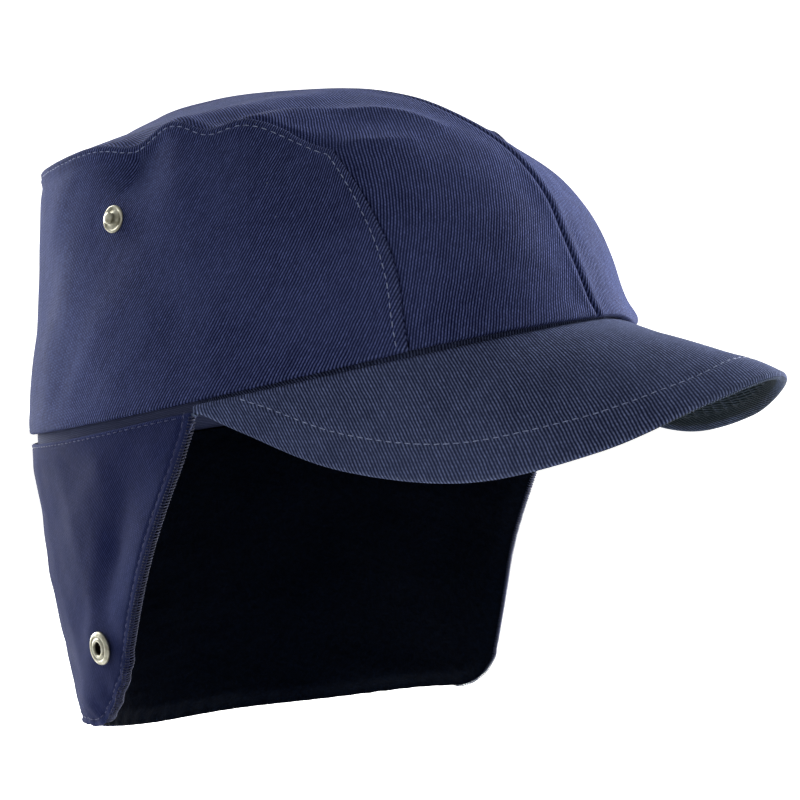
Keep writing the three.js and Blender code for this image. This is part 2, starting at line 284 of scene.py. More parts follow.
FRONT_SEAM = table(
    "forward side up",
    (78.1, 53.5, 22.9),
    (74.4, 51.6, 32.2),
    (72.2, 50.6, 40.6),
    (68.9, 50.0, 48.9),
    (63.6, 49.2, 57.0),
    (56.2, 47.9, 65.4),
    (43.0, 44.5, 76.3),
)
TOP_EDGE = table(
    "forward side up",
    (43.0, 44.5, 76.3),
    (30.0, 52.5, 80.5),
    (20.0, 58.0, 83.6),
    (8.0, 62.5, 80.9),
    (-6.0, 65.5, 83.8),
    (-22.0, 66.5, 79.5),
    (-38.0, 65.0, 75.0),
    (-56.0, 59.5, 70.5),
    (-74.0, 48.5, 66.5),
    (-90.0, 29.0, 62.5),
    (-98.0, 0.0, 60.5),
)
RIDGE = table(
    "forward side up",
    (103.0, 0, 29.2),
    (96.6, 0, 41.9),
    (90.9, 0, 52.4),
    (84.8, 0, 63.3),
    (72.2, 0, 75.3),
    (45.9, 0, 87.3),
    (22.7, 0, 92.2),
    (-9.8, 0, 92.3),
    (-45.0, 0, 89.2),
    (-74.0, 0, 81.5),
    (-98.0, 0, 60.5),
)
BACK_SEAM = table(
    "forward side up",
    (-103.0, 0, -21.8),
    (-104.8, 0, -10.0),
    (-103.6, 0, 8.0),
    (-101.6, 0, 32.0),
    (-98.0, 0, 60.5),
)
CROWN_DENTS = table(
    "forward side up reach push_up push_side",
    (-12, 68, 76, 13, -6, -2.5),
    (-16, 74, 48, 20, 0, -2),
    (34, 30, 84, 14, -2, 0),
    (-1, 64, 80, 8, 3.2, 0),
    (24, 56, 82, 9, 1.6, 0),
)

# The crown's left half also sags, between the centre seam and the hem.
LEFT_SAGS = table(
    "forward side up reach push_up push_side",
    (23, 50, 91, 33, -5.7, 0),
    (52, 19, 68, 37, -4.9, -0.9),
)
SAG_FROM_SEAM = 18.0
SAG_FROM_UP = 29.0
SAG_FULL_UP = 50.0
PEAK_EDGE = table(
    "angle forward side up",
    (-15, 153.1, -20.4, 12.6),
    (0, 160.8, 0, 18.3),
    (15, 153.1, 20.4, 12.6),
    (30, 131.8, 39.6, -0.6),
    (45, 100.3, 55.8, -10.8),
    (60, 65.5, 68.5, -10),
    (75, 36, 76.6, -1.6),
    (90, 23.8, 82.8, 4.2),
)
FLAP_STATIONS = table(
    "angle mid_forward mid_side mid_up end_forward end_side end_up",
    (77.5, 12, 86, -55, 1, 86, -115),
    (100, -18, 84, -60, -33, 80, -122),
    (125, -62, 67, -66, -59, 62, -127),
    (150, -87, 42, -72, -79, 37, -129),
    (180, -97, 1, -73, -87, 3, -128),
    (210, -86, -36, -68, -78, -25, -121),
    (235, -61, -62, -61, -61, -48, -111),
    (260, -26, -80, -54, -34, -72, -101),
    (282.5, 0, -84.5, -50, -12, -79, -98),
)
FLAP_FOLDS = table(
    "angle spread depth",
    (96, 6, 1.8),
    (140, 9, -1.8),
    (178, 8, 1.5),
    (222, 9, -1.5),
    (270, 5, -2),
)


def place(forward, side, up):
    """Points in the frame's own axes."""
    forward, side, up = np.broadcast_arrays(forward, side, up)
    return np.stack([side, -forward, up], axis=-1).astype(float)


def unit(vectors):
    length = np.linalg.norm(vectors, axis=-1, keepdims=True)
    return vectors / np.maximum(length, 1e-9)


def smooth(value, low, high):
    """0 up to a low value, 1 from a high one, and a smooth way between them."""
    part = np.clip((value - low) / (high - low), 0, 1)
    return part * part * (3 - 2 * part)


def hump(value, middle, width):
    """1 in the middle, and close to 0 beyond twice the width."""
    return np.exp(-(((value - middle) / width) ** 2))


def bend_between(start, end, leave, arrive, part):
    """A smooth way from one value to the next, with given slopes at both."""
    square, cube = part**2, part**3
    return (
        start * (2 * cube - 3 * square + 1)
        + end * (3 * square - 2 * cube)
        + leave * (cube - 2 * square + part)
        + arrive * (cube - square)
    )


def read_line(distance, run, line):
    """Places on a line of points, at distances along it."""
    return np.stack([np.interp(distance, run, column) for column in line.T], axis=-1)


def curve_through(rows):
    """A smooth line through a table's points, asked for by its share of the length."""
    points = place(rows["forward"], rows["side"], rows["up"])
    points = np.vstack([2 * points[0] - points[1], points, 2 * points[-1] - points[-2]])
    share = np.linspace(0, 1, CURVE_STEPS)[:, None]
    pieces = []
    for before, start, end, after in zip(points, points[1:], points[2:], points[3:]):
        steps = (start - before, end - start, after - end)
        gap_in, gap, gap_out = (math.sqrt(np.linalg.norm(step)) for step in steps)
        leave = (start - before) / gap_in - (end - before) / (gap_in + gap) + (end - start) / gap
        arrive = (end - start) / gap - (after - start) / (gap + gap_out) + (after - end) / gap_out
        pieces.append(bend_between(start, end, leave * gap, arrive * gap, share))
    line = np.vstack(pieces)
    run = np.concatenate([[0], np.cumsum(np.linalg.norm(np.diff(line, axis=0), axis=1))])
    return lambda part: read_line(part * run[-1], run, line)


def look_up(rows, key_column, column, key):
    """A smooth value between a table's rows, found by one of its columns."""
    keys, values = rows[key_column], rows[column]
    last = len(keys) - 1
    row = np.clip(np.searchsorted(keys, key, side="left") - 1, 0, last - 1)
    after = np.minimum(np.arange(last + 1) + 1, last)
    before = np.maximum(np.arange(last + 1) - 1, 0)
    slope = (values[after] - values[before]) / (keys[after] - keys[before])
    span = keys[row + 1] - keys[row]
    part = (key - keys[row]) / span
    return bend_between(values[row], values[row + 1], slope[row] * span, slope[row + 1] * span, part)


def hem_point(angle):
    """The crown's hem: an oval that rises towards the front."""
    forward = np.cos(np.radians(angle))
    up = HEM_RISE * forward + HEM_CURL * forward**2
    return place(HEM_HALF_LENGTH * forward, HEM_HALF_WIDTH * np.sin(np.radians(angle)), up)


def hem_outward(angle):
    forward = np.cos(np.radians(angle)) / HEM_HALF_LENGTH
    side = np.sin(np.radians(angle)) / HEM_HALF_WIDTH
    return unit(place(forward, side, 0))


front_seam_at = curve_through(FRONT_SEAM)
top_edge_at = curve_through(TOP_EDGE)
ridge_at = curve_through(RIDGE)
back_seam_at = curve_through(BACK_SEAM)
SEAM_HEM_ANGLE = math.degrees(math.acos(FRONT_SEAM["forward"][0] / HEM_HALF_LENGTH))
SEAM_SHARE = 9 / 31


def front_side_at(along):
    """The front panel's long side: up the front seam, then back along the top edge."""
    seam = front_seam_at(np.clip(along / SEAM_SHARE, 0, 1))
    edge = top_edge_at(np.clip((along - SEAM_SHARE) / (1 - SEAM_SHARE), 0, 1))
    return np.where((along < SEAM_SHARE)[..., None], seam, edge)


def patch(bottom, top, start, end, across, up):
    """A patch stretched between four curves that meet at its corners."""
    zero, one = np.zeros_like(across), np.ones_like(across)
    a, u = across[..., None], up[..., None]
    sides = bottom(across) * (1 - u) + top(across) * u + start(up) * (1 - a) + end(up) * a
    corners = (
        bottom(zero) * (1 - a) * (1 - u)
        + bottom(one) * a * (1 - u)
        + top(zero) * (1 - a) * u
        + top(one) * a * u
    )
    return sides - corners


def crown_outward(points):
    """Directions out of a rounded block as large as the crown."""
    scaled = (points - CROWN_MIDDLE) / CROWN_SIZE
    scaled[..., 2] = np.maximum(scaled[..., 2], 0) ** 2
    return unit(scaled / CROWN_SIZE)


def dented(points, dents=CROWN_DENTS, share=1.0):
    """Points moved by a table of dents, each of which fades out over its reach."""
    moved = points.copy()
    for row in range(len(dents["reach"])):
        dent = {name: column[row] for name, column in dents.items()}
        away = points - place(dent["forward"], dent["side"], dent["up"])
        strength = share * np.exp(-(away**2).sum(-1) / dent["reach"] ** 2)
        moved += strength[..., None] * place(0, dent["push_side"], dent["push_up"])
    return moved


def side_surface(across, up):
    """The left side panel, between the hem, the top edge, the front seam and the back seam."""
    points = patch(
        lambda part: hem_point(SEAM_HEM_ANGLE + part * (180 - SEAM_HEM_ANGLE)),
        top_edge_at,
        front_seam_at,
        back_seam_at,
        across,
        up,
    )
    swell = SIDE_SWELL * np.sin(math.pi * across**0.75) ** 2 * 4 * up * (1 - up)
    level = crown_outward(points) * (1, 1, 0)
    points = points + unit(level) * swell[..., None]
    return dented(points) + place(-SEAM_GAP, SEAM_GAP / 2, -SEAM_GAP)


def front_surface(across, along):
    """The left front panel, which narrows to a point at the back."""
    back_point = ridge_at(np.ones(1))[0]
    points = patch(
        lambda part: hem_point(part * SEAM_HEM_ANGLE),
        lambda part: back_point + part[..., None] * 0,
        ridge_at,
        front_side_at,
        across,
        along,
    )
    swell = FRONT_SWELL * np.sin(math.pi * along) * 4 * across * (1 - across)
    points = points + crown_outward(points) * swell[..., None]
    return dented(points) + place(0, SEAM_GAP / 2, 0)


def sagged(surface):
    """A surface of the left half with its sags."""

    def at(across, up):
        points = surface(across, up)
        beside_seam = smooth(points[..., 0], SEAM_GAP / 2, SAG_FROM_SEAM)
        above_hem = smooth(points[..., 2], SAG_FROM_UP, SAG_FULL_UP)
        return dented(points, LEFT_SAGS, beside_seam * above_hem)

    return at


def peak_edge_point(angle):
    """The peak's rim, which is the same on both sides."""
    turn = np.abs(angle)
    forward, side, up = (look_up(PEAK_EDGE, "angle", name, turn) for name in ("forward", "side", "up"))
    return place(forward, np.sign(angle) * side, up)


PEAK_TUCK_RISE = 5.0
PEAK_TUCK_INSET = 2.4
TUCK_LEAN = 0.52
TUCK_LEAN_LOSS = 0.4
TUCK_UPRIGHT = (40, 78)
TUCK_PART = 0.1
TURN_PART = 0.2
UNDER_MARGIN = 3.6
UNDER_START_MOST = 0.7


def peak_surface(tucked):
    """The peak's upper cloth starts inside the crown, and its under cloth just outside the hem."""

    def at(across, out):
        turn = 1 - 2 * across
        angle = turn * PEAK_CORNER
        hem = hem_point(angle) - place(0, 0, PEAK_DROP)
        edge = peak_edge_point(turn * 90)
        reach = np.linalg.norm(edge - hem, axis=-1)
        under_start = np.minimum(UNDER_START_MOST, UNDER_MARGIN / reach)
        run = (out - TURN_PART) / (1 - TURN_PART) if tucked else under_start + out * (1 - under_start)
        run = np.clip(run, 0, 1)
        points = hem + (edge - hem) * run[..., None]
        points[..., 2] += PEAK_SWELL * 4 * run * (1 - run) * np.cos(np.radians(turn * 90)).clip(0) ** 0.5
        if tucked:
            rise = PEAK_TUCK_RISE * np.clip(1 - out / TUCK_PART, 0, 1)
            inset = PEAK_TUCK_INSET * np.clip((TURN_PART - out) / (TURN_PART - TUCK_PART), 0, 1)
            lean = (TUCK_LEAN - TUCK_LEAN_LOSS * smooth(np.abs(angle), *TUCK_UPRIGHT)) * rise
            points -= hem_outward(angle) * (inset + lean)[..., None]
            points[..., 2] += rise
        return points

    return at


FLAP_START = FLAP_STATIONS["angle"][0]
FLAP_END = FLAP_STATIONS["angle"][-1]


def flap_point(angle, down):
    """Each station of the flap falls from the hem through its middle to its lower end."""
    columns = [look_up(FLAP_STATIONS, "angle", name, angle) for name in list(FLAP_STATIONS)[1:]]
    middle, end = place(*columns[:3]), place(*columns[3:])
    d = down[..., None]
    points = hem_point(angle) * (1 - d) * (1 - 2 * d) + middle * 4 * d * (1 - d) + end * d * (2 * d - 1)
    fallen = np.sin(math.pi * np.minimum(1, down / FOLDED_PART)) ** 2
    for turn, spread, depth in zip(*FLAP_FOLDS.values()):
        points += hem_outward(angle) * (depth * fallen * hump(angle, turn, spread))[..., None]
    return points


def flap_angle(across):
    """Stations stand closer together at both front edges, where the lower corners are round."""
    eased = across - STATION_EASE / (2 * math.pi) * np.sin(2 * math.pi * across)
    return FLAP_START + (FLAP_END - FLAP_START) * eased


def flap_reach(angle):
    """How far down the flap goes, less where its lower corners are round."""
    left = angle < 180
    radius = np.where(left, CORNER_RADIUS["left"], CORNER_RADIUS["right"])
    turn = np.where(left, angle - FLAP_START, FLAP_END - angle)
    part = np.clip(1 - np.radians(turn) * HEM_HALF_WIDTH / radius, 0, 1)
    return 1 - radius * (1 - np.sqrt(1 - part**2)) / FLAP_LENGTH


def flap_spot(across, up, below_hem):
    """The angle and the share of the fall at places on a flap's sheet that starts below the hem."""
    angle = flap_angle(across)
    start = below_hem / FLAP_LENGTH
    return angle, start + (1 - up) * (flap_reach(angle) - start)


def flap_surface(below_hem):
    return lambda across, up: flap_point(*flap_spot(across, up, below_hem))


def band_surface(across, up):
    """The band rises inside the hem, and its lower part lies behind the flap's top."""
    angle = flap_angle(across)
    height = -BAND_DROP + up * (BAND_DROP + BAND_TUCK)
    below = flap_point(angle, np.maximum(-height, 0) / FLAP_LENGTH)
    above = hem_point(angle) - hem_outward(angle) * (BAND_LEAN * height)[..., None] + place(0, 0, height)
    return np.where((height < 0)[..., None], below, above)


# Cloth as dense grids
RIPPLE_VARIETY = (0.7, 1.8)
FOLD_STEPS = 41
FOLD_FADE_POWER = 0.6
CALM_CORE = 0.35
FINE_MARKS = (0.0, 0.15, 0.35, 0.6, 0.9, 1.25, 1.6, 1.9, 2.2, 2.5, 2.8, 3.1, 3.5, 4.1, 4.9, 5.9)


def marks(length):
    """Shares of a length, close together near both ends where the hems and seams are."""
    fine = np.array(FINE_MARKS)
    plain = length - 2 * fine[-1]
    middle = np.linspace(fine[-1], length - fine[-1], max(2, round(plain / CLOTH_STEP)) + 1)
    return np.concatenate([fine[:-1], middle, length - fine[:-1][::-1]]) / length


def run_along(points):
    """How far each point is along its line, from the first one."""
    steps = np.linalg.norm(np.diff(points, axis=0), axis=-1)
    return np.concatenate([np.zeros((1,) + steps.shape[1:]), np.cumsum(steps, axis=0)])


class Sheet:
    """A grid of points on a surface, with its outward directions and distances from its edges."""

    def __init__(self, surface, width, height, mirror=False):
        self.surface, self.mirror = surface, mirror
        self.across, self.up = np.meshgrid(marks(width), marks(height))
        self.base = self.at(self.across, self.up)
        self.bottom = run_along(self.base)
        self.start = run_along(self.base.swapaxes(0, 1)).T
        self.top = self.bottom[-1] - self.bottom
        self.end = self.start[:, -1:] - self.start
        self.outward = self.facing()

    def at(self, across, up):
        return self.surface(across, up) * ((-1, 1, 1) if self.mirror else 1)

    def facing(self):
        slope_across = np.gradient(self.base, axis=1)
        slope_up = np.gradient(self.base, axis=0)
        normal = np.cross(slope_across, slope_up) * (-1 if self.mirror else 1)
        length = np.linalg.norm(normal, axis=-1)
        for row in range(1, len(normal)):
            flat = length[row] < 1e-7
            normal[row][flat] = normal[row - 1][flat]
        return unit(normal)

    def settle(self, amount):
        """Moves the whole cloth outwards, both faces alike."""
        self.base = self.base + self.outward * amount[..., None]
        self.outward = self.facing()

    def inside(self, edges, start=1, end=9):
        """0 at the named edges, and 1 well inside them."""
        return smooth(np.minimum.reduce([getattr(self, edge) for edge in edges]), start, end)


def ripple(points, size, seed, waves=14):
    """A soft random field over space, from -1 to 1, with swells of about the given size."""
    random = np.random.default_rng(seed)
    total = np.zeros(points.shape[:-1])
    for _ in range(waves):
        direction = unit(random.normal(size=3))
        pace = 2 * math.pi / (size * random.uniform(*RIPPLE_VARIETY))
        total += np.sin(points @ direction * pace + random.uniform(0, 2 * math.pi))
    return total / math.sqrt(waves)


def rounding(distance, radius):
    """How far a folded edge falls back, for a distance from that edge."""
    short = np.clip(1 - distance / radius, 0, 1)
    return radius * (1 - np.sqrt(np.maximum(1 - short**2, 0)))


def fold_along(sheet, fold, crest):
    """A fold along its line on a sheet, with a round crest. It fades at both ends."""
    share = np.linspace(0, 1, FOLD_STEPS)
    rows = np.linspace(0, 1, len(fold["up"]))
    line = sheet.at(*(np.interp(share, rows, fold[name]) for name in ("across", "up")))
    away = np.linalg.norm(sheet.base[..., None, :] - line, axis=-1)
    slant = np.sqrt(away.min(axis=-1) ** 2 + crest**2) - crest
    fade = np.sin(math.pi * share[away.argmin(axis=-1)]) ** FOLD_FADE_POWER
    return fold["height"] * np.exp(-slant / fold["width"]) * fade


def distance_from(points, line):
    """How far each point is from the nearest place on a line."""
    return np.array([np.linalg.norm(row[:, None] - line, axis=-1).min(axis=-1) for row in points])


def calm(points, spot, reach):
    """0 at a spot, and 1 beyond its reach: cloth lies still where a snap grips it."""
    away = np.linalg.norm(points - spot, axis=-1)
    return smooth(away, CALM_CORE * reach, reach)


def grid_faces(rows, columns, offset, flip):
    index = np.arange(rows * columns).reshape(rows, columns) + offset
    corners = [index[:-1, :-1], index[:-1, 1:], index[1:, 1:], index[1:, :-1]]
    quads = np.stack(corners, axis=-1).reshape(-1, 4)
    return quads[:, ::-1] if flip else quads


def rim_faces(rows, columns, offset, flip):
    """Joins the outer grid's boundary to the inner grid's."""
    index = np.arange(rows * columns).reshape(rows, columns)
    loop = np.concatenate([index[0, :-1], index[:-1, -1], index[-1, :0:-1], index[:0:-1, 0]])
    after = np.roll(loop, -1)
    quads = np.stack([after, loop, loop + offset, after + offset], axis=-1)
    return quads[:, ::-1] if flip else quads


def mesh_object(name, points, faces, uv=None, wear_dirt_and_painted_light=None):
    """A smooth mesh from millimetre points, with a metric map for its weave."""
    mesh = bpy.data.meshes.new(name)
    mesh.from_pydata((points * MM).tolist(), [], [tuple(face) for face in faces])
    if uv is not None:
        corners = np.zeros(len(mesh.loops), np.int64)
        mesh.loops.foreach_get("vertex_index", corners)
        layer = mesh.uv_layers.new(name="cloth")
        layer.uv.foreach_set("vector", uv[corners].astype(np.float32).ravel())
    # A per-point field of real wear, snap dirt and painted light, which the materials read.
    if wear_dirt_and_painted_light is not None:
        mesh.attributes.new("wear_dirt_and_painted_light", "FLOAT", "POINT").data.foreach_set("value", wear_dirt_and_painted_light.astype(np.float32))
    mesh.polygons.foreach_set("use_smooth", np.ones(len(mesh.polygons), bool))
    mesh.validate()
    mesh.update()
    piece = bpy.data.objects.new(name, mesh)
    bpy.context.scene.collection.objects.link(piece)
    return piece


def merge_close(piece, distance=1e-6):
    work = bmesh.new()
    work.from_mesh(piece.data)
    bmesh.ops.remove_doubles(work, verts=work.verts, dist=distance)
    work.to_mesh(piece.data)
    work.free()


def shell(name, sheet, raised, depth, uv, wear_dirt_and_painted_light=0.0):
    """A closed cloth piece: its outer face is raised over the surface, its inner face lies below it."""
    sheet.outer = sheet.base + sheet.outward * raised[..., None]
    inner = sheet.base - sheet.outward * depth[..., None]
    rows, columns = sheet.base.shape[:2]
    count = rows * columns
    points = np.concatenate([sheet.outer.reshape(-1, 3), inner.reshape(-1, 3)])
    faces = [
        grid_faces(rows, columns, 0, sheet.mirror),
        grid_faces(rows, columns, count, not sheet.mirror),
        rim_faces(rows, columns, count, sheet.mirror),
    ]
    both_maps = np.concatenate([uv.reshape(-1, 2)] * 2) * MM
    worn_and_painted_light = np.concatenate([np.broadcast_to(wear_dirt_and_painted_light, (rows, columns)).ravel()] * 2)
    piece = mesh_object(name, points, np.concatenate(faces).tolist(), both_maps, worn_and_painted_light)
    merge_close(piece)
    return piece


def finish_piece(piece, slot_name, material, *nodes):
    piece.data.materials.append(material)
    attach(piece, "root")
    if nodes:
        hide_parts(*nodes)


# Threads
def tubes(centres, across, above, widths, heights):
    """Closed tubes, one for each row of centres: the points and faces of one mesh."""
    turn = np.linspace(0, 2 * math.pi, THREAD_SIDES, endpoint=False)
    rings = (
        centres[:, :, None]
        + across[:, :, None] * (np.cos(turn) * widths[..., None])[..., None]
        + above[:, :, None] * (np.sin(turn) * heights[..., None])[..., None]
    )
    count, length = centres.shape[:2]
    index = np.arange(count * length * THREAD_SIDES).reshape(count, length, THREAD_SIDES)
    after = np.roll(index, -1, axis=-1)
    walls = np.stack([index[:, :-1], after[:, :-1], after[:, 1:], index[:, 1:]], axis=-1).reshape(-1, 4)
    caps = np.concatenate([index[:, 0, ::-1], index[:, -1]])
    return rings.reshape(-1, 3), walls.tolist() + caps.tolist()


def line_at(sheet, field, distance, by_column=True):
    """Where a field over a sheet reaches a distance, on each of its columns or rows.

    Gives points on the outer face, outward directions, and distances from the start, end, bottom and top.
    """
    edges = ("start", "end", "bottom", "top")
    values = [sheet.outer, sheet.outward] + [getattr(sheet, edge)[..., None] for edge in edges]
    values = np.concatenate(values, axis=-1)
    if not by_column:
        field, values = field.T, values.swapaxes(0, 1)
    found = []
    for column in range(field.shape[1]):
        order = np.argsort(field[:, column])
        known = field[order, column]
        found.append([np.interp(distance, known, value) for value in values[order, column].T])
    found = np.array(found)
    return found[:, :3], unit(found[:, 3:6]), dict(zip(edges, found[:, 6:].T))


def even_places(line, outward, pitch, margin=0.4):
    """Even steps along a line, as distances from its start, and ways to read places and directions."""
    run = run_along(line)
    steps = np.arange(margin, run[-1] - margin - pitch, pitch)

    return (
        steps,
        lambda distance: read_line(distance, run, line),
        lambda distance: unit(read_line(distance, run, outward)),
    )


def stitch_row(line, outward, seed):
    """Thread dashes along a line on the cloth, whose ends dive into it."""
    random = np.random.default_rng(seed)
    steps, place_at, outward_at = even_places(line, outward, STITCH_PITCH)
    share = np.linspace(0, 1, THREAD_STEPS)
    length = STITCH_LENGTH * random.uniform(*STITCH_VARIETY, (len(steps), 1))
    distance = steps[:, None] + length * share
    above = outward_at(distance)
    ahead = unit(np.gradient(place_at(distance), axis=1))
    across = np.cross(above, ahead)
    bow = np.sin(math.pi * share) ** STITCH_BOW_POWER
    skew = random.normal(0, STITCH_SKEW, (len(steps), 1)) * (share - 0.5) * length
    centres = place_at(distance) + above * (THREAD_SINK + THREAD_RISE * bow)[:, None]
    centres = centres + across * skew[..., None]
    widths = np.broadcast_to(THREAD_RADIUS * (THREAD_END + THREAD_SWELL * bow), distance.shape)
    return tubes(centres, across, above, widths, THREAD_FLATNESS * widths)


def joined(parts):
    """Several meshes' points and faces as one."""
    points, faces, offset = [], [], 0
    for part_points, part_faces in parts:
        points.append(part_points)
        faces += [[corner + offset for corner in face] for face in part_faces]
        offset += len(part_points)
    return np.concatenate(points), faces


def thread_piece(name, material, parts):
    """Threads as one piece."""
    finish_piece(mesh_object(name, *joined(parts)), "twill", material)


# Materials
# Noises, with their scale for each metre, detail and roughness
NOISES = {
    "drift": (210.0, 2.0, 0.5),
    "streak": (1.0, 2.0, 0.6),
    "cloud": (22.0, 3.0, 0.6),
    "grain": (1500.0, 2.0, 0.7),
    "lint": (75.0, 2.0, 0.5),
    "pile": (900.0, 3.0, 0.6),
    "strands": (2600.0, 2.0, 0.6),
    "tarnish": (420.0, 4.0, 0.65),
    "brushing": (3200.0, 3.0, 0.6),
}
NOISE_MIDDLE = (0.3, 0.7)


def node_group(name, inputs, outputs):
    """An empty shader group, and its input and output nodes. Its sockets are named with their kinds."""
    group = bpy.data.node_groups.new(name, "ShaderNodeTree")
    for in_out, sockets in (("INPUT", inputs), ("OUTPUT", outputs)):
        for label, kind in sockets.items():
            group.interface.new_socket(label, in_out=in_out, socket_type=f"NodeSocket{kind}")
    return group, group.nodes.new("NodeGroupInput"), group.nodes.new("NodeGroupOutput")


class Wiring:
    """Adds nodes to a tree and joins them in one call each."""

    def __init__(self, tree):
        self.tree = tree

    def feed(self, socket, source):
        if isinstance(source, bpy.types.NodeSocket):
            self.tree.links.new(source, socket)
        else:
            socket.default_value = source

    def fill(self, node, sources):
        """Feeds a node's inputs, which are named or numbered."""
        for label, source in sources.items():
            self.feed(node.inputs[label], source)

    def node(self, kind, sources=None, **settings):
        made = self.tree.nodes.new(kind)
        for label, value in settings.items():
            setattr(made, label, value)
        self.fill(made, sources or {})
        return made

    def math(self, operation, *sources):
        return self.node("ShaderNodeMath", dict(enumerate(sources)), operation=operation).outputs[0]

    def plus(self, first, second):
        return self.math("ADD", first, second)

    def times(self, first, second):
        return self.math("MULTIPLY", first, second)

    def top_part(self, value, part):
        """A value from 0 to 1, moved into the top part of that range."""
        return self.math("MULTIPLY_ADD", value, part, 1 - part)

    def wave(self, turns):
        """A cosine wave from 0 to 1."""
        return self.top_part(self.math("COSINE", self.times(turns, 2 * math.pi)), 0.5)

    def vector(self, *parts):
        return self.node("ShaderNodeCombineXYZ", dict(enumerate(parts))).outputs[0]

    def noise(self, vector, name):
        labels = ("Vector", "Scale", "Detail", "Roughness")
        sources = dict(zip(labels, (vector, *NOISES[name])))
        return self.node("ShaderNodeTexNoise", sources).outputs["Fac"]

    def chance(self, vector):
        """A random value from 0 to 1 for each whole place."""
        made = self.node("ShaderNodeTexWhiteNoise", {"Vector": vector}, noise_dimensions="2D")
        return made.outputs["Value"]

    def ramp(self, value, low, high, to_low=0.0, to_high=1.0):
        labels = ("Value", "From Min", "From Max", "To Min", "To Max")
        sources = dict(zip(labels, (value, low, high, to_low, to_high)))
        return self.node("ShaderNodeMapRange", sources, interpolation_type="SMOOTHSTEP").outputs["Result"]

    def mix(self, factor, first, second):
        sources = {0: factor, 6: first, 7: second}
        return self.node("ShaderNodeMix", sources, data_type="RGBA", blend_type="MIX").outputs[2]

    def relief(self, height, distance, strength=1.0):
        sources = {"Height": height, "Distance": distance, "Strength": strength}
        return self.node("ShaderNodeBump", sources).outputs[0]

    def attribute(self, name):
        return self.node("ShaderNodeAttribute", attribute_name=name).outputs["Fac"]

    def object_place(self):
        return self.node("ShaderNodeTexCoord").outputs["Object"]

    def group(self, name, **sources):
        return self.node("ShaderNodeGroup", sources, node_tree=GROUPS[name]).outputs


FLOAT_LENGTH = 0.00115
FLOAT_STEP = 0.37
FLOAT_VARIETY = 0.36
KNUCKLE_DEPTH = 0.34
WALE_DRIFT = 0.7
WALE_TONE_POWER = 1.7
WALE_HEIGHT_POWER = 0.8
STREAK_STEP = 0.31
STREAK_LENGTH_SCALE = 95.0
STREAK_TONES = (0.25, 0.7, 0.86, 1.08)
LINT_CELLS = 190.0
LINT_SIZE = (0.015, 0.06)
LINT_RARITY = (0.56, 0.64)


def twill_group():
    """Diagonal wales, each a chain of short floats. Place is metric, and the outputs run from 0 to 1."""
    inputs = {"Place": "Vector", "Pitch": "Float", "Lean": "Float"}
    group, source, result = node_group("twill_weave", inputs, {"Height": "Float", "Tone": "Float"})
    w = Wiring(group)
    spot, pitch, lean = (source.outputs[label] for label in inputs)
    parts = w.node("ShaderNodeSeparateXYZ", {0: spot}).outputs
    x, y = parts[0], parts[1]
    sine, cosine = w.math("SINE", lean), w.math("COSINE", lean)
    cross = w.math("SUBTRACT", w.times(x, cosine), w.times(y, sine))
    along = w.plus(w.times(x, sine), w.times(y, cosine))
    drift = w.times(w.math("SUBTRACT", w.noise(spot, "drift"), 0.5), WALE_DRIFT)
    turns = w.plus(w.math("DIVIDE", cross, pitch), drift)
    wale = w.wave(turns)
    number = w.math("FLOOR", w.plus(turns, 0.5))
    chain = w.plus(w.math("DIVIDE", along, FLOAT_LENGTH), w.times(number, FLOAT_STEP))
    knuckle = w.top_part(w.wave(w.plus(chain, 0.5)), KNUCKLE_DEPTH)
    single = w.chance(w.vector(number, w.math("FLOOR", chain)))
    streak_place = w.vector(w.times(number, STREAK_STEP), w.times(along, STREAK_LENGTH_SCALE))
    streak = w.ramp(w.noise(streak_place, "streak"), *STREAK_TONES)
    tone = w.times(w.math("POWER", wale, WALE_TONE_POWER), w.top_part(single, FLOAT_VARIETY))
    height = w.times(w.math("POWER", wale, WALE_HEIGHT_POWER), knuckle)
    w.fill(result, {"Tone": w.times(w.times(tone, knuckle), streak), "Height": height})
    return group


def shade_group():
    """Soft unevenness of dyed cloth, fibre grain, and sparse specks of lint."""
    outputs = {"Cloud": "Float", "Grain": "Float", "Lint": "Float"}
    group, source, result = node_group("cloth_shade", {"Place": "Vector"}, outputs)
    w = Wiring(group)
    spot = source.outputs["Place"]
    cloud, grain = (w.ramp(w.noise(spot, name), *NOISE_MIDDLE) for name in ("cloud", "grain"))
    cells = w.node("ShaderNodeTexVoronoi", {"Vector": spot, "Scale": LINT_CELLS}, feature="F1")
    near = w.ramp(cells.outputs["Distance"], *LINT_SIZE, 1.0, 0.0)
    lint = w.times(near, w.ramp(w.noise(spot, "lint"), *LINT_RARITY))
    w.fill(result, {"Cloud": cloud, "Grain": grain, "Lint": lint})
    return group


GROUPS = {"twill": twill_group(), "shade": shade_group()}


def new_material(name):
    material = bpy.data.materials.new(name)
    material.use_nodes = True
    tree = material.node_tree
    return material, Wiring(tree), tree.nodes["Principled BSDF"]


LINT_COLOUR = (0.220, 0.250, 0.330, 1)
LINT_STRENGTH = 0.6
GRAIN_SHADE = 0.3
CLOUD_SHADE = 0.08
CLOTH_ROUGHNESS = (0.86, 0.95)
FLEECE_TONES = (0.35, 0.7)
FLEECE_ROUGHNESS = (0.92, 1.0)
THREAD_ROUGHNESS = (0.7, 0.5)
TARNISH_PATCHES = (0.4, 0.7)
PLATE_ROUGHNESS = (0.36, 0.5)
CLOTH_GLOSS = {
    "Specular IOR Level": 0.07,
    "Sheen Weight": 0.03,
    "Sheen Roughness": 0.3,
    "Sheen Tint": (0.62, 0.74, 1.0, 1),
}


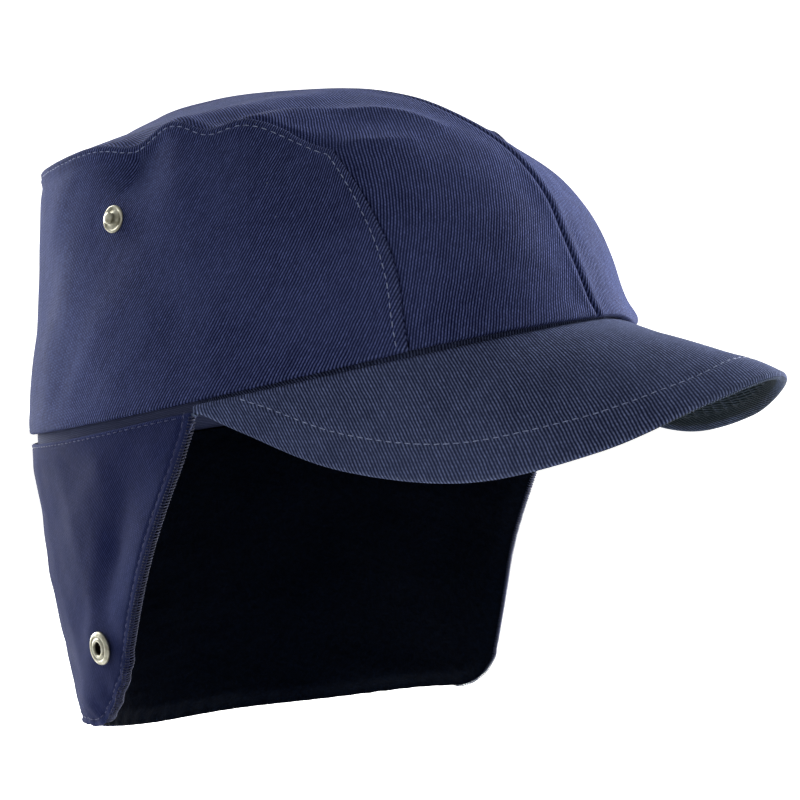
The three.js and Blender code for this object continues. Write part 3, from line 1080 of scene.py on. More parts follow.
def twill_material(name, painted_groove_shade, crest, worn_and_painted_light, pitch, lean, relief):
    """Twill: painted shade between the wales and painted light on their crests, paler where it is rubbed
    and where painted highlights lie on creases, folds and puckers, with lint.
    """
    material, w, shader = new_material(name)
    weave_map = w.node("ShaderNodeUVMap", uv_map="cloth").outputs[0]
    weave = w.group("twill", Place=weave_map, Pitch=pitch, Lean=lean)
    shade = w.group("shade", Place=w.object_place())
    # The wear attribute holds real wear and painted highlights on creases, folds and puckers.
    rubbed = w.times(w.attribute("wear_dirt_and_painted_light"), w.top_part(shade["Cloud"], 0.5))
    light = w.mix(rubbed, crest, worn_and_painted_light)
    # Painted shade in the grooves between the wales, and painted light on their crests.
    colour = w.mix(weave["Tone"], painted_groove_shade, light)
    colour = w.mix(w.times(shade["Grain"], GRAIN_SHADE), colour, painted_groove_shade)
    colour = w.mix(w.ramp(shade["Cloud"], 0, 1, 0, CLOUD_SHADE), colour, light)
    fuzz = w.math("MULTIPLY_ADD", shade["Grain"], GRAIN_SHADE, weave["Height"])
    finish = {
        "Base Color": w.mix(w.times(shade["Lint"], LINT_STRENGTH), colour, LINT_COLOUR),
        "Normal": w.relief(fuzz, relief),
        "Roughness": w.ramp(shade["Cloud"], 0, 1, *CLOTH_ROUGHNESS),
    }
    w.fill(shader, {**finish, **CLOTH_GLOSS})
    return material


def fleece_material(name, dark, light):
    """Deep dark pile that hardly shines."""
    material, w, shader = new_material(name)
    spot = w.object_place()
    shade = w.group("shade", Place=spot)
    knots = w.noise(spot, "pile")
    tone = w.mix(w.ramp(knots, *FLEECE_TONES), dark, light)
    finish = {
        "Base Color": w.mix(w.times(shade["Grain"], GRAIN_SHADE), tone, (0, 0, 0, 1)),
        "Normal": w.relief(knots, distance=0.0006, strength=0.9),
        "Roughness": w.ramp(shade["Cloud"], 0, 1, *FLEECE_ROUGHNESS),
        "Specular IOR Level": 0.05,
    }
    w.fill(shader, finish)
    return material


def thread_material(name, dark, light):
    """Twisted sewing thread, paler and smoother where its strands stand up."""
    material, w, shader = new_material(name)
    strands = w.noise(w.object_place(), "strands")
    finish = {
        "Base Color": w.mix(w.ramp(strands, *NOISE_MIDDLE), dark, light),
        "Normal": w.relief(strands, distance=0.0001, strength=0.5),
        "Roughness": w.ramp(strands, *NOISE_MIDDLE, *THREAD_ROUGHNESS),
        "Specular IOR Level": 0.3,
    }
    w.fill(shader, finish)
    return material


def snap_material(name, clean, tarnished, dirty):
    """Nickel plate with a fine brushed grain, tarnish in patches, and dirt in its hollows."""
    material, w, shader = new_material(name)
    spot = w.object_place()
    tarnish = w.ramp(w.noise(spot, "tarnish"), *TARNISH_PATCHES)
    dirt = w.attribute("wear_dirt_and_painted_light")
    plate = w.mix(tarnish, clean, tarnished)
    finish = {
        "Base Color": w.mix(dirt, plate, dirty),
        "Roughness": w.math("MAXIMUM", w.ramp(tarnish, 0, 1, *PLATE_ROUGHNESS), dirt),
        "Metallic": 1.0,
        "Normal": w.relief(w.noise(spot, "brushing"), distance=0.00005, strength=0.3),
    }
    w.fill(shader, finish)
    return material


# Each twill's valley colour is painted shade for the grooves between its wales, and its crest colour holds
# painted light on the wale crests.
crown_cloth = twill_material(
    "crown_twill",
    painted_groove_shade=(0.0018, 0.0032, 0.026, 1),
    crest=(0.136, 0.174, 0.425, 1),
    # paler colour for real wear at seams and hems, and for the painted highlight on the front creases
    worn_and_painted_light=(0.150, 0.187, 0.400, 1),
    pitch=0.00079,
    lean=math.radians(27),
    relief=0.00020,
)
peak_cloth_painted_top_light = twill_material(
    "peak_twill_painted_top_light",
    painted_groove_shade=(0.0095, 0.0130, 0.038, 1),
    # the crown's crest made lighter and greyer: painted light from above
    crest=(0.200, 0.250, 0.480, 1),
    worn_and_painted_light=(0.340, 0.410, 0.620, 1),
    pitch=0.00086,
    lean=math.radians(21),
    relief=0.00020,
)
under_cloth = twill_material(
    "peak_under_twill",
    painted_groove_shade=(0.004, 0.007, 0.010, 1),
    crest=(0.054, 0.075, 0.092, 1),
    # paler colour for the worn rim, and for the painted light on the pucker crests
    worn_and_painted_light=(0.150, 0.195, 0.340, 1),
    pitch=0.00086,
    lean=math.radians(21),
    relief=0.00012,
)
flap_cloth = twill_material(
    "flap_twill",
    painted_groove_shade=(0.0066, 0.0092, 0.043, 1),
    crest=(0.043, 0.057, 0.174, 1),
    # paler colour for real wear at the hem and top edge, and for the painted highlight on the right front
    # fold
    worn_and_painted_light=(0.110, 0.158, 0.450, 1),
    pitch=0.00068,
    lean=math.radians(27),
    relief=0.00012,
)
band_cloth = twill_material(
    "band_plain_cloth",
    painted_groove_shade=(0.042, 0.050, 0.108, 1),
    crest=(0.094, 0.110, 0.196, 1),
    worn_and_painted_light=(0.094, 0.110, 0.196, 1),
    pitch=0.0006,
    lean=math.radians(88),
    relief=0.0001,
)
lining_fleece = fleece_material(
    "lining_fleece", dark=(0.0002, 0.0010, 0.0036, 1), light=(0.0008, 0.0030, 0.0090, 1)
)
seam_thread = thread_material("seam_thread", dark=(0.15, 0.18, 0.32, 1), light=(0.34, 0.40, 0.60, 1))
flap_thread = thread_material("flap_thread", dark=(0.028, 0.036, 0.10, 1), light=(0.085, 0.10, 0.22, 1))
edging_thread = thread_material(
    "edging_thread", dark=(0.0035, 0.0048, 0.020, 1), light=(0.030, 0.039, 0.110, 1)
)
nickel = snap_material(
    "nickel_plate",
    clean=(0.52, 0.51, 0.41, 1),
    tarnished=(0.28, 0.265, 0.19, 1),
    dirty=(0.020, 0.018, 0.012, 1),
)


# Beads and channels beside an edge or a line, and bands of wear and of painted light: rows of height,
# distance and width
BEADS = {
    "lap": [(0.15, 1.5, 0.8), (-0.36, STITCH_INSET, 0.42)],
    "lap_pucker": [(0.1, 4.0, 2.5)],
    "seam": [(0.3, 2.2, 1.5), (-0.3, 0, 0.5)],
    "hem": [(0.2, 3.5, 3.0)],
    "lip_along_top": [(0.9, 0.235, 0.035), (1.2, 0.085, 0.03)],
    "peak_row_bend": [(1.7, 0.2, 0.09), (2.0, 0, 0.05)],
    "peak_row": [(-0.35, PEAK_STITCH_INSET, 0.7), (0.18, PEAK_STITCH_INSET, 3.0)],
    "peak_snug": [(0.6, 1.0, 3.5)],
    "under_rim": [(0.3, 4.8, 0.6)],
    "under_pucker": [(0.75, 10.0, 8.0)],
    "flap_top_row": [(0.25, 0.8, 0.6), (-0.35, FLAP_TOP_STITCH, 0.45)],
    "flap_hem_row": [(0.2, 1.3, 0.8), (-0.35, FLAP_HEM_STITCH, 0.5)],
    "left_fold": [(0.6, 9, 4.5), (-0.5, 25, 7)],
    "right_valley": [(-0.55, 24, 7)],
    "right_foot_rise": [(3.0, 0, 16)],
    "tip_pucker": [(0.3, 0, 6)],
    "lap_wear": [(0.75, 0.8, 0.9), (0.3, 1.6, 1.4)],
    "seam_wear": [(0.3, 1.0, 0.8)],
    "hem_wear": [(0.4, 0.6, 0.8)],
    "peak_rim_wear": [(0.3, 0.5, 0.8)],
    "peak_row_wear": [(0.1, PEAK_STITCH_INSET, 1.5)],
    # Painted light on the crests of the under cloth's puckers, so that their hollows look shaded
    "under_pucker_painted_light": [(0.35, 10.0, 7.0)],
    "flap_hem_wear": [(0.25, 0.6, 0.9)],
    "flap_top_wear": [(0.4, 0.5, 0.7)],
    # Painted highlight along the crest of the flap's right front fold
    "right_fold_painted_highlight": [(0.4, 6, 6)],
}

# Where something fades in: it is absent at the first distance or share, and whole at the second
FADES = {
    "lap": (STITCH_INSET, 9.0),
    "under_lap": (0.3, 4.0),
    "front_hem": (0.5, 6.0),
    "full_top_inset": (5, 50),
    "front_crease_painted_highlight": (0.7, 1.3),
    "peak_waves_from_hem": (0, 8),
    "peak_waves_from_rim": (1, 8),
    "right_of_sag": (0.4, 0.56),
    "right_of_lift": (0.3, 0.45),
    "sag_from_hem": (2, 16),
    "sag_from_rim": (3, 22),
    "peak_row": (1, 5),
    "rim_turned": (0.4, 2.2),
    "under_pucker": (4.5, 6.5),
    "under_rim_wear": (1.8, 2.8),
    "left_flare": (0.18, 0.72),
    "band_flare": (0.2, 0.7),
    "right_reach": (0, 0.1),
    "right_fold": (2, 16),
    "top_rise": (0.04, 0.2),
    "top_rise_to_fronts": (0.3, 1),
    "flap_waves": (1, 9),
    "pinch": (0.5, 6.5),
}

# Soft swells of each cloth, broad ones first: rows of height and size
SWELLS = {
    "side": [(0.45, 46), (0.18, 17)],
    "front": [(0.3, 40), (0.12, 15)],
    "peak": [(0.28, 40)],
    "flap": [(0.55, 38), (0.2, 15)],
}
NEXT_SEED = 10


def beads(name, distance):
    return sum(height * hump(distance, middle, width) for height, middle, width in BEADS[name])


def fade_in(name, distance):
    return smooth(distance, *FADES[name])


def fade_out(name, distance):
    return 1 - smooth(distance, *FADES[name])


def folded(distance, name):
    """How far a named edge falls back, for a distance from it."""
    return rounding(distance, ROUNDS[name])


def swells(name, points, seed):
    rows = enumerate(SWELLS[name])
    return sum(height * ripple(points, size, seed + row * NEXT_SEED) for row, (height, size) in rows)


# Seams and hems, by distance from the edge
def lapped_edge(distance):
    """A folded edge that lies on its neighbour, with a puffed margin and a stitched channel."""
    return LAP_RISE * fade_out("lap", distance) + beads("lap", distance) - folded(distance, "lap")


def under_lap(distance):
    """The edge that lies under a lapped one."""
    return -UNDER_LAP_DROP * fade_out("under_lap", distance) - folded(distance, "under_lap")


def plain_seam(distance):
    """Both cloths turn in at a plain seam, and stand a little proud beside it."""
    return beads("seam", distance) - folded(distance, "seam")


def turned_hem(distance):
    return beads("hem", distance) - folded(distance, "hem")


def front_hem(distance):
    """The front panels stand out a little over the peak, and turn in sharply."""
    return FRONT_HEM_RISE * fade_out("front_hem", distance) - folded(distance, "front_hem")


def inner_edge(distance, wall):
    """The inner face comes up at an edge, so that the fold is round."""
    return wall - rounding(distance, wall * INNER_ROUND)


def left_drop(points):
    """The hem hangs lower at the wearer's left front, and the peak's cloth goes down with it."""
    away = np.linalg.norm(points - np.array(LEFT_DROP_SPOT), axis=-1)
    return place(0, 0, -LEFT_DROP * hump(away, 0, LEFT_DROP_REACH))


def top_lip(along_top, from_top):
    """Both panels stand a little higher at two places along the top edge."""
    return place(0, 0, beads("lip_along_top", along_top) * hump(from_top, 0, LIP_REACH))


def snap_seat(sheet, across, up):
    """Where a snap sits on a sheet, and the direction that it faces."""
    step = 1e-3
    beside = np.array([0, 1, -1, 0, 0]) * step
    above = np.array([0, 0, 0, 1, -1]) * step
    points = sheet.at(across + beside, up + above)
    facing = np.cross(points[1] - points[2], points[3] - points[4])
    return points[0], unit(facing) * (-1 if sheet.mirror else 1)


def crown_sheet(surface, hand, grid):
    """A crown panel's sheet. Only the left half sags."""
    return Sheet(sagged(surface) if hand == "left" else surface, *grid, mirror=hand == "right")


def crown_side(hand):
    """A side panel, which laps over the front panel at its front seam and top edge."""
    sheet = crown_sheet(side_surface, hand, SIDE_GRID)
    seat = snap_seat(sheet, STUD_ACROSS, STUD_UP)[0]
    waves = swells("side", sheet.base, CROWN_SEEDS[hand])
    waves = waves * sheet.inside(("start", "end", "bottom", "top"))
    fold = fold_along(sheet, SIDE_FOLDS[hand], SIDE_CREST) * sheet.inside(("top",), 0, 4)
    sheet.base = sheet.base + top_lip(sheet.across, sheet.top) + left_drop(sheet.base)
    tuck = BACK_TUCK[hand] * hump(sheet.across, *BACK_TUCK_ACROSS) * hump(sheet.up, *BACK_TUCK_UP)
    sheet.settle((waves + fold) * calm(sheet.base, seat, STUD_CALM) - tuck)
    wide_inset = (STITCH_INSET - TOP_STITCH_INSET) * fade_out("full_top_inset", sheet.start)
    sheet.lapped = np.minimum(sheet.start, sheet.top * STITCH_INSET / (TOP_STITCH_INSET + wide_inset))
    drawn = np.sin(sheet.start * LAP_PUCKER_PACE + sheet.end * LAP_PUCKER_DRIFT)
    raised = lapped_edge(sheet.lapped) + plain_seam(sheet.end) + turned_hem(sheet.bottom)
    raised = raised + drawn * beads("lap_pucker", sheet.lapped)
    nearest = np.minimum.reduce([sheet.lapped, sheet.end, sheet.bottom])
    wear_dirt_and_painted_light = beads("lap_wear", sheet.lapped) + beads("hem_wear", sheet.bottom)
    depth = inner_edge(nearest, CROWN_WALL)
    piece = shell(f"crown_side_panel_{hand}", sheet, raised, depth, side_map(sheet), wear_dirt_and_painted_light)
    finish_piece(piece, "twill", crown_cloth, f"crown_side_{hand}")
    return sheet


def side_map(sheet):
    """A side panel's weave runs round the head. The lapped margin is drawn a little off it."""
    forward, side = -sheet.base[..., 1] / HEM_HALF_LENGTH, sheet.base[..., 0] / HEM_HALF_WIDTH
    turn = np.unwrap(np.degrees(np.arctan2(side, forward)), period=360)
    pull = MARGIN_PULL * np.clip(STITCH_INSET - sheet.start, 0, None) * (1 if sheet.mirror else -1)
    return np.stack([np.radians(turn) * GIRTH_RADIUS, sheet.base[..., 2] + pull], axis=-1)


def crown_front(hand):
    """A front panel, from the peak up over the top to the back."""
    sheet = crown_sheet(front_surface, hand, FRONT_GRID)
    waves = swells("front", sheet.base, CROWN_SEEDS[hand] + FRONT_SEED_STEP)
    along_top = (sheet.up - SEAM_SHARE) / (1 - SEAM_SHARE)
    sheet.base = sheet.base + top_lip(along_top, sheet.end) + left_drop(sheet.base)
    folds = [fold_along(sheet, fold, FRONT_CREST) for fold in FRONT_FOLDS[hand]]
    waves = waves * sheet.inside(("start", "end", "bottom"))
    sheet.settle(waves + sum(folds) * sheet.inside(("start", "end"), 0, 6))
    raised = plain_seam(sheet.start) + under_lap(sheet.end) + front_hem(sheet.bottom)
    nearest = np.minimum.reduce([sheet.start, sheet.end, sheet.bottom])
    lateral = sheet.start * (-1 if sheet.mirror else 1)
    uv = np.stack([lateral, sheet.bottom], axis=-1)
    # A painted highlight along the crease crests, with real wear at the hem and the centre seam.
    wear_dirt_and_painted_light = CREASE_PAINTED_HIGHLIGHT * fade_in("front_crease_painted_highlight", np.maximum.reduce(folds))
    wear_dirt_and_painted_light = wear_dirt_and_painted_light + beads("hem_wear", sheet.bottom) + beads("seam_wear", sheet.start)
    depth = inner_edge(nearest, CROWN_WALL)
    piece = shell(f"crown_front_panel_{hand}", sheet, raised, depth, uv, wear_dirt_and_painted_light)
    finish_piece(piece, "twill", crown_cloth, f"crown_front_{hand}")


def laid_flat(sheet, spine_row):
    """The peak's cloth laid flat: a spine unrolled by its own bend, with straight rulings out from it."""
    spine = sheet.base[spine_row]
    tangent = unit(np.gradient(spine, axis=0))
    ruling = sheet.base[-1] - spine
    sideways = np.cross(unit(np.cross(tangent, ruling)), tangent)
    heading = np.cumsum((np.gradient(tangent, axis=0) * sideways).sum(-1))
    heading -= heading[len(heading) // 2]
    ahead = np.stack([np.cos(heading), np.sin(heading)], axis=-1)
    beside = np.stack([-np.sin(heading), np.cos(heading)], axis=-1)
    step = np.diff(run_along(spine), prepend=0)
    flat = np.cumsum(step[:, None] * ahead, axis=0)
    flat -= flat[len(flat) // 2]
    way = unit(ruling)
    direction = (way * tangent).sum(-1)[:, None] * ahead + (way * sideways).sum(-1)[:, None] * beside
    return flat + (sheet.bottom - sheet.bottom[spine_row])[..., None] * direction


def peak_settle(sheet, beyond_hem):
    """Both layers of the peak share its faint waves, its left half's sag and lift, and its snug hem."""
    waves = swells("peak", sheet.base, PEAK_SEED) * fade_in("peak_waves_from_rim", sheet.top)
    waves = waves * fade_in("peak_waves_from_hem", beyond_hem)
    sag = LEFT_SAG * fade_out("right_of_sag", sheet.across)
    sag = sag * fade_in("sag_from_hem", beyond_hem) * fade_in("sag_from_rim", sheet.top)
    lift = LEFT_LIFT * fade_out("right_of_lift", sheet.across) * hump(sheet.top, 0, LEFT_LIFT_REACH)
    sheet.base = sheet.base + left_drop(sheet.base)
    sheet.settle(waves - sag + lift + beads("peak_snug", beyond_hem))


def tuck_row(sheet):
    """The row of the peak's upper cloth where it leaves the hem."""
    return int(np.argmin(abs(sheet.up[:, 0] - TURN_PART)))


def peak_upper():
    """The peak's upper cloth, with a stitched channel inside its rim."""
    sheet = Sheet(peak_surface(True), *PEAK_UPPER_GRID)
    uv = laid_flat(sheet, tuck_row(sheet))
    beyond_hem = sheet.bottom - sheet.bottom[tuck_row(sheet)]
    peak_settle(sheet, beyond_hem)
    sheet.stitched = sheet.top - beads("peak_row_bend", abs(sheet.across - 0.5))
    channel = beads("peak_row", sheet.stitched) * fade_in("peak_row", beyond_hem)
    raised = channel - folded(sheet.top, "peak")
    depth = PEAK_LAYER + RIM_PINCH * fade_out("rim_turned", sheet.top)
    wear_dirt_and_painted_light = beads("peak_rim_wear", sheet.top) + beads("peak_row_wear", sheet.stitched)
    piece = shell("peak_upper_cloth", sheet, raised, depth, uv, wear_dirt_and_painted_light)
    finish_piece(piece, "twill", peak_cloth_painted_top_light, "peak_upper")
    return sheet


def peak_under():
    """The peak's under cloth, drawn into puckers inside its rim."""
    sheet = Sheet(peak_surface(False), *PEAK_UNDER_GRID)
    uv = laid_flat(sheet, 0)
    peak_settle(sheet, sheet.bottom)
    raised = -PEAK_LAYER - PEAK_LAYER_GAP + RIM_PINCH * fade_out("rim_turned", sheet.top)
    wander = PUCKER_WANDER * ripple(sheet.base, *PUCKER_RIPPLE)
    drawn = np.sin(2 * math.pi * sheet.start / PUCKER_PITCH + wander)
    begun = fade_in("under_pucker", sheet.top)
    puckers = drawn * beads("under_pucker", sheet.top) * begun
    depth = PEAK_THICKNESS - folded(sheet.top, "peak") - beads("under_rim", sheet.top) + puckers
    # Painted light on the pucker crests, so the hollows between them look shaded; the rim band is real
    # wear.
    pucker_crest_painted_light = np.clip(drawn, 0, 1) * beads("under_pucker_painted_light", sheet.top) * begun
    wear_dirt_and_painted_light = fade_out("under_rim_wear", sheet.top) + pucker_crest_painted_light
    piece = shell("peak_under_cloth", sheet, raised, depth, uv, wear_dirt_and_painted_light)
    finish_piece(piece, "twill", under_cloth, "peak_under")


def flap_outward(sheet, below_hem):
    """Outward directions of the flap's own surface. Its grid runs askew at the round corners."""
    angle, down = flap_spot(sheet.across, sheet.up, below_hem)
    turn, drop = 0.2, 0.005
    sideways = flap_point(angle + turn, down) - flap_point(angle - turn, down)
    upwards = flap_point(angle, down - drop) - flap_point(angle, down + drop)
    return unit(np.cross(sideways, upwards))


def left_flare(from_left, share):
    """The flap's left front edge flares forward, a little inwards and a little up."""
    flare = LEFT_FLARE * hump(from_left, 0, LEFT_FLARE_WIDTH) * share
    return place(*(part * flare for part in LEFT_FLARE_WAY))


def flap_sheet(below_hem, height):
    """A sheet of the hanging flap. Its waves, front folds and tip puckers are the same for each layer."""
    sheet = Sheet(flap_surface(below_hem), FLAP_GIRTH, height)
    seats = [snap_seat(sheet, across, 1 - SOCKET_DOWN)[0] for across in (SOCKET_ACROSS, 1 - SOCKET_ACROSS)]
    fall = (sheet.top + below_hem) / FLAP_LENGTH
    hung = np.sin(math.pi * np.clip(fall / FOLDED_PART, 0, 1)) ** HUNG_POWER
    from_left, from_right = (distance_from(sheet.base, sheet.base[:, side]) for side in (0, -1))
    from_foot = distance_from(sheet.base, sheet.base[0])
    sheet.edge = np.minimum.reduce([from_left, from_right, from_foot])
    reach = RIGHT_REACH * fade_in("right_reach", fall) + RIGHT_BILLOW * hung
    reach = reach * hump(from_right, 0, RIGHT_REACH_WIDTH)
    to_fronts = fade_in("top_rise_to_fronts", abs(2 * sheet.across - 1))
    top_rise = (TOP_RISE + TOP_RISE_AT_FRONTS * to_fronts) * fade_out("top_rise", fall)
    foot_rise = FOOT_RISE * (1 - hump(from_left, 0, FOOT_RISE_WIDTH)) + beads("right_foot_rise", from_right)
    foot_rise = foot_rise * hump(from_foot, 0, FOOT_RISE_HEIGHT)
    flare = left_flare(from_left, fade_out("left_flare", fall))
    sheet.base = sheet.base + flare + place(reach, 0, top_rise + foot_rise)
    sheet.still = np.minimum.reduce([calm(sheet.base, seat, SOCKET_CALM) for seat in seats])
    waves = swells("flap", sheet.base, FLAP_SEED) * fade_in("flap_waves", np.minimum(sheet.edge, sheet.top))
    right_fold = RIGHT_FOLD * fade_out("right_fold", from_right) + beads("right_valley", from_right)
    folds = (right_fold + beads("left_fold", from_left)) * hung
    tuck = FLAP_TUCK * hump(sheet.start, *FLAP_TUCK_START) * hump(fall, *FLAP_TUCK_FALL)
    puckers = np.sin(2 * math.pi * sheet.start / TIP_PUCKER_PITCH) * beads("tip_pucker", from_foot)
    sheet.outward = flap_outward(sheet, below_hem)
    sheet.settle((waves + folds - tuck) * sheet.still + puckers)
    sheet.outward = flap_outward(sheet, below_hem)
    sheet.pinch = fade_out("pinch", sheet.edge)
    # A painted highlight along the crest of the right front fold, where the cloth would catch the light.
    sheet.rubbed = beads("right_fold_painted_highlight", from_right) * hung
    return sheet


def flap_map(sheet):
    """The flap's weave, level along the middle of its height."""
    middle = sheet.start[len(sheet.start) // 2]
    girth = np.broadcast_to(middle - middle[-1] / 2, sheet.start.shape)
    return np.stack([girth, -sheet.top], axis=-1)


def flap_outer():
    """The twill outside of the flap, stitched under its top edge and round its hem."""
    sheet = flap_sheet(OUTER_BELOW_HEM, FLAP_OUTER_HEIGHT)
    nearest = np.minimum(sheet.edge, sheet.top)
    rows = beads("flap_top_row", sheet.top) + beads("flap_hem_row", sheet.edge)
    raised = rows - folded(nearest, "flap")
    depth = inner_edge(nearest, FLAP_OUTER_WALL)
    # Real wear at the hem and the top edge, and the painted highlight on the right front fold.
    wear_dirt_and_painted_light = beads("flap_hem_wear", sheet.edge) + beads("flap_top_wear", sheet.top) + sheet.rubbed
    piece = shell("flap_outer_cloth", sheet, raised, depth, flap_map(sheet), wear_dirt_and_painted_light)
    finish_piece(piece, "twill", flap_cloth, "flap_outer")
    return sheet


def flap_lining():
    """The flap's padded lining, pinched thin at its edge, with a pocket behind each socket."""
    sheet = flap_sheet(LINING_BELOW_HEM, FLAP_LINING_HEIGHT)
    inset = FLAP_OUTER_WALL + FLAP_LAYER_GAP - LINING_EDGE_LIFT * sheet.pinch
    pocket = SOCKET_POCKET * (1 - sheet.still) * (1 - sheet.pinch)
    raised = -inset - folded(sheet.edge, "lining_face") - pocket
    wall = FLAP_LINING_WALL - (FLAP_LINING_WALL - FLAP_PINCH) * sheet.pinch
    pile = PILE_HEIGHT * ripple(sheet.base, *PILE_RIPPLE) * (1 - sheet.pinch)
    depth = inset + wall - folded(sheet.edge, "lining_back") + pile
    piece = shell("flap_lining_fleece", sheet, raised, depth, flap_map(sheet))
    finish_piece(piece, "lining_fleece", lining_fleece, "flap_lining")


def flap_band():
    """The plain band inside the hem, which the flap hangs from."""
    sheet = Sheet(band_surface, FLAP_GIRTH, BAND_DROP + BAND_TUCK)
    sheet.base = sheet.base + left_flare(sheet.start, fade_out("band_flare", sheet.up))
    sheet.outward = hem_outward(flap_angle(sheet.across))
    raised = -BAND_INSET + BAND_WAVE * ripple(sheet.base, *BAND_RIPPLE)
    depth = np.full(sheet.up.shape, BAND_INSET + BAND_WALL)
    piece = shell("flap_band_cloth", sheet, raised, depth, flap_map(sheet))
    finish_piece(piece, "band_cloth", band_cloth, "flap_band")


# Stitches and loops
def kept(line, outward, *tests):
    keep = np.logical_and.reduce(tests)
    return line[keep], outward[keep]


def chained(*parts):
    return tuple(np.concatenate(column) for column in zip(*parts))


def crown_stitches(hand, sheet):
    """One row from the hem up the front seam, and on round the top edge to the back."""
    line, outward, away = line_at(sheet, sheet.start, STITCH_INSET, by_column=False)
    seam = kept(line, outward, away["top"] >= STITCH_INSET, away["bottom"] >= STITCH_ABOVE_HEM)
    line, outward, away = line_at(sheet, sheet.lapped, STITCH_INSET)
    edge = kept(line, outward, away["start"] >= STITCH_INSET)
    row = stitch_row(*chained(seam, edge), seed=CROWN_SEEDS[hand])
    thread_piece(f"crown_seam_stitches_{hand}", seam_thread, [row])


def peak_stitches(sheet):
    """A row inside the peak's rim, from hem to hem."""
    line, outward, away = line_at(sheet, sheet.stitched, PEAK_STITCH_INSET)
    beyond_hem = away["bottom"] - sheet.bottom[tuck_row(sheet)].max()
    row = stitch_row(*kept(line, outward, beyond_hem > -PEAK_STITCH_HIDDEN), seed=31)
    thread_piece("peak_stitches", seam_thread, [row])


def flap_border(sheet, hand, foot_length):
    """The flap's front edge from its top, round the lower corner and along its foot.

    Gives places, outward directions, and 1 or -1 to make their cross with the way ahead point outwards.
    """
    side, inner, from_front = (0, 3, sheet.start) if hand == "left" else (-1, -4, sheet.end)
    foot = np.flatnonzero(from_front[0] < foot_length)[:: 1 if hand == "left" else -1][1:]
    line = np.concatenate([sheet.base[::-1, side], sheet.base[0, foot]])
    outward = np.concatenate([sheet.outward[::-1, side], sheet.outward[0, foot]])
    padded = np.pad(outward, ((BORDER_SMOOTHING, BORDER_SMOOTHING), (0, 0)), mode="edge")
    shifts = range(2 * BORDER_SMOOTHING + 1)
    outward = unit(sum(padded[shift : shift + len(outward)] for shift in shifts))
    middle = len(sheet.base) // 2
    beyond = sheet.base[middle, side] - sheet.base[middle, inner]
    ahead = sheet.base[middle - 1, side] - sheet.base[middle, side]
    turned = np.dot(np.cross(ahead, sheet.outward[middle, side]), beyond) < 0
    return line, outward, -1 if turned else 1


def hem_line(sheet, hand):
    """A line inside the flap's border, laid onto its outer face."""
    line, outward, turn = flap_border(sheet, hand, sheet.start[0, -1] / 2)
    ahead = unit(np.gradient(line, axis=0))
    line = line - np.cross(ahead, outward) * turn * FLAP_HEM_STITCH
    face, facing = sheet.outer.reshape(-1, 3), sheet.outward.reshape(-1, 3)
    near = np.array([np.linalg.norm(face - point, axis=-1).argmin() for point in line])
    drop = ((face[near] - line) * facing[near]).sum(-1)
    line = line + facing[near] * drop[:, None]
    slip = 0.01
    ahead_of_last = (np.diff(line, axis=0, prepend=line[:1]) * ahead).sum(-1) > -slip
    return kept(line, outward, ahead_of_last)


def flap_stitches(sheet):
    """A row under the flap's top edge, and a row round its hem."""
    line, outward, away = line_at(sheet, sheet.top, FLAP_TOP_STITCH)
    within = [away["start"] > FLAP_HEM_STITCH, away["end"] > FLAP_HEM_STITCH]
    top_row = stitch_row(*kept(line, outward, *within), seed=41)
    hem_rows = [stitch_row(*hem_line(sheet, hand), seed=42) for hand in HANDS]
    thread_piece("flap_stitches", flap_thread, [top_row, *hem_rows])


def front_edging(sheet, hand):
    """Small loops of thread that wrap the flap's front edge, over the cloth's rim and the lining's."""
    line, outward, turn = flap_border(sheet, hand, EDGING_FOOT)
    steps, place_at, outward_at = even_places(line, outward, EDGING_PITCH, EDGING_MARGIN)
    random = np.random.default_rng(51)
    swing = np.radians(np.linspace(-EDGING_WRAP, EDGING_WRAP, THREAD_STEPS))
    slant = EDGING_SLANT * swing / swing[-1] * random.uniform(*SLANT_VARIETY, (len(steps), 1))
    distance = steps[:, None] + slant
    above = outward_at(distance)
    ahead = unit(place_at(distance + 0.5) - place_at(distance - 0.5))
    away = np.cross(ahead, above) * turn
    half = (FLAP_OUTER_WALL + FLAP_PINCH) / 2 + EDGING_RADIUS
    reach = EDGING_REACH * random.uniform(*REACH_VARIETY, (len(steps), 1, 1))
    centres = place_at(distance) - above * (half - EDGING_RADIUS)
    centres = centres + above * (half * np.sin(swing))[:, None] + away * (reach * np.cos(swing)[:, None])
    widths = np.broadcast_to(EDGING_RADIUS, distance.shape)
    return tubes(centres, ahead, np.cross(unit(np.gradient(centres, axis=1)), ahead), widths, widths)


# Snaps, as profiles that are turned about their pins. Dirt runs from 0 to 1.
STUD_PROFILE = table(
    "radius height dirt",
    (0, -2.7, 0),
    (3.4, -2.7, 0),
    (3.75, -2.62, 0),
    (3.95, -2.45, 0),
    (3.98, -2.3, 0),
    (3.85, -2.2, 0),
    (1.6, -2.18, 0),
    (1.5, -2.1, 0),
    (1.5, 0.3, 0),
    (1.58, 0.36, 0),
    (3.8, 0.36, 0.3),
    (4.04, 0.4, 0.2),
    (4.12, 0.55, 0),
    (4.06, 0.76, 0),
    (3.88, 0.95, 0),
    (3.66, 1.02, 0),
    (3.44, 0.97, 0),
    (3.2, 0.84, 0.1),
    (2.9, 0.78, 0.25),
    (2.5, 0.83, 0.1),
    (2.1, 0.98, 0.1),
    (1.76, 1.18, 0.25),
    (1.52, 1.36, 0.6),
    (1.4, 1.6, 0.3),
    (1.44, 1.82, 0.1),
    (1.62, 2.02, 0),
    (1.78, 2.26, 0),
    (1.82, 2.5, 0),
    (1.73, 2.78, 0),
    (1.5, 3.03, 0),
    (1.18, 3.18, 0),
    (0.8, 3.26, 0),
    (0.4, 3.3, 0),
    (0, 3.31, 0),
)
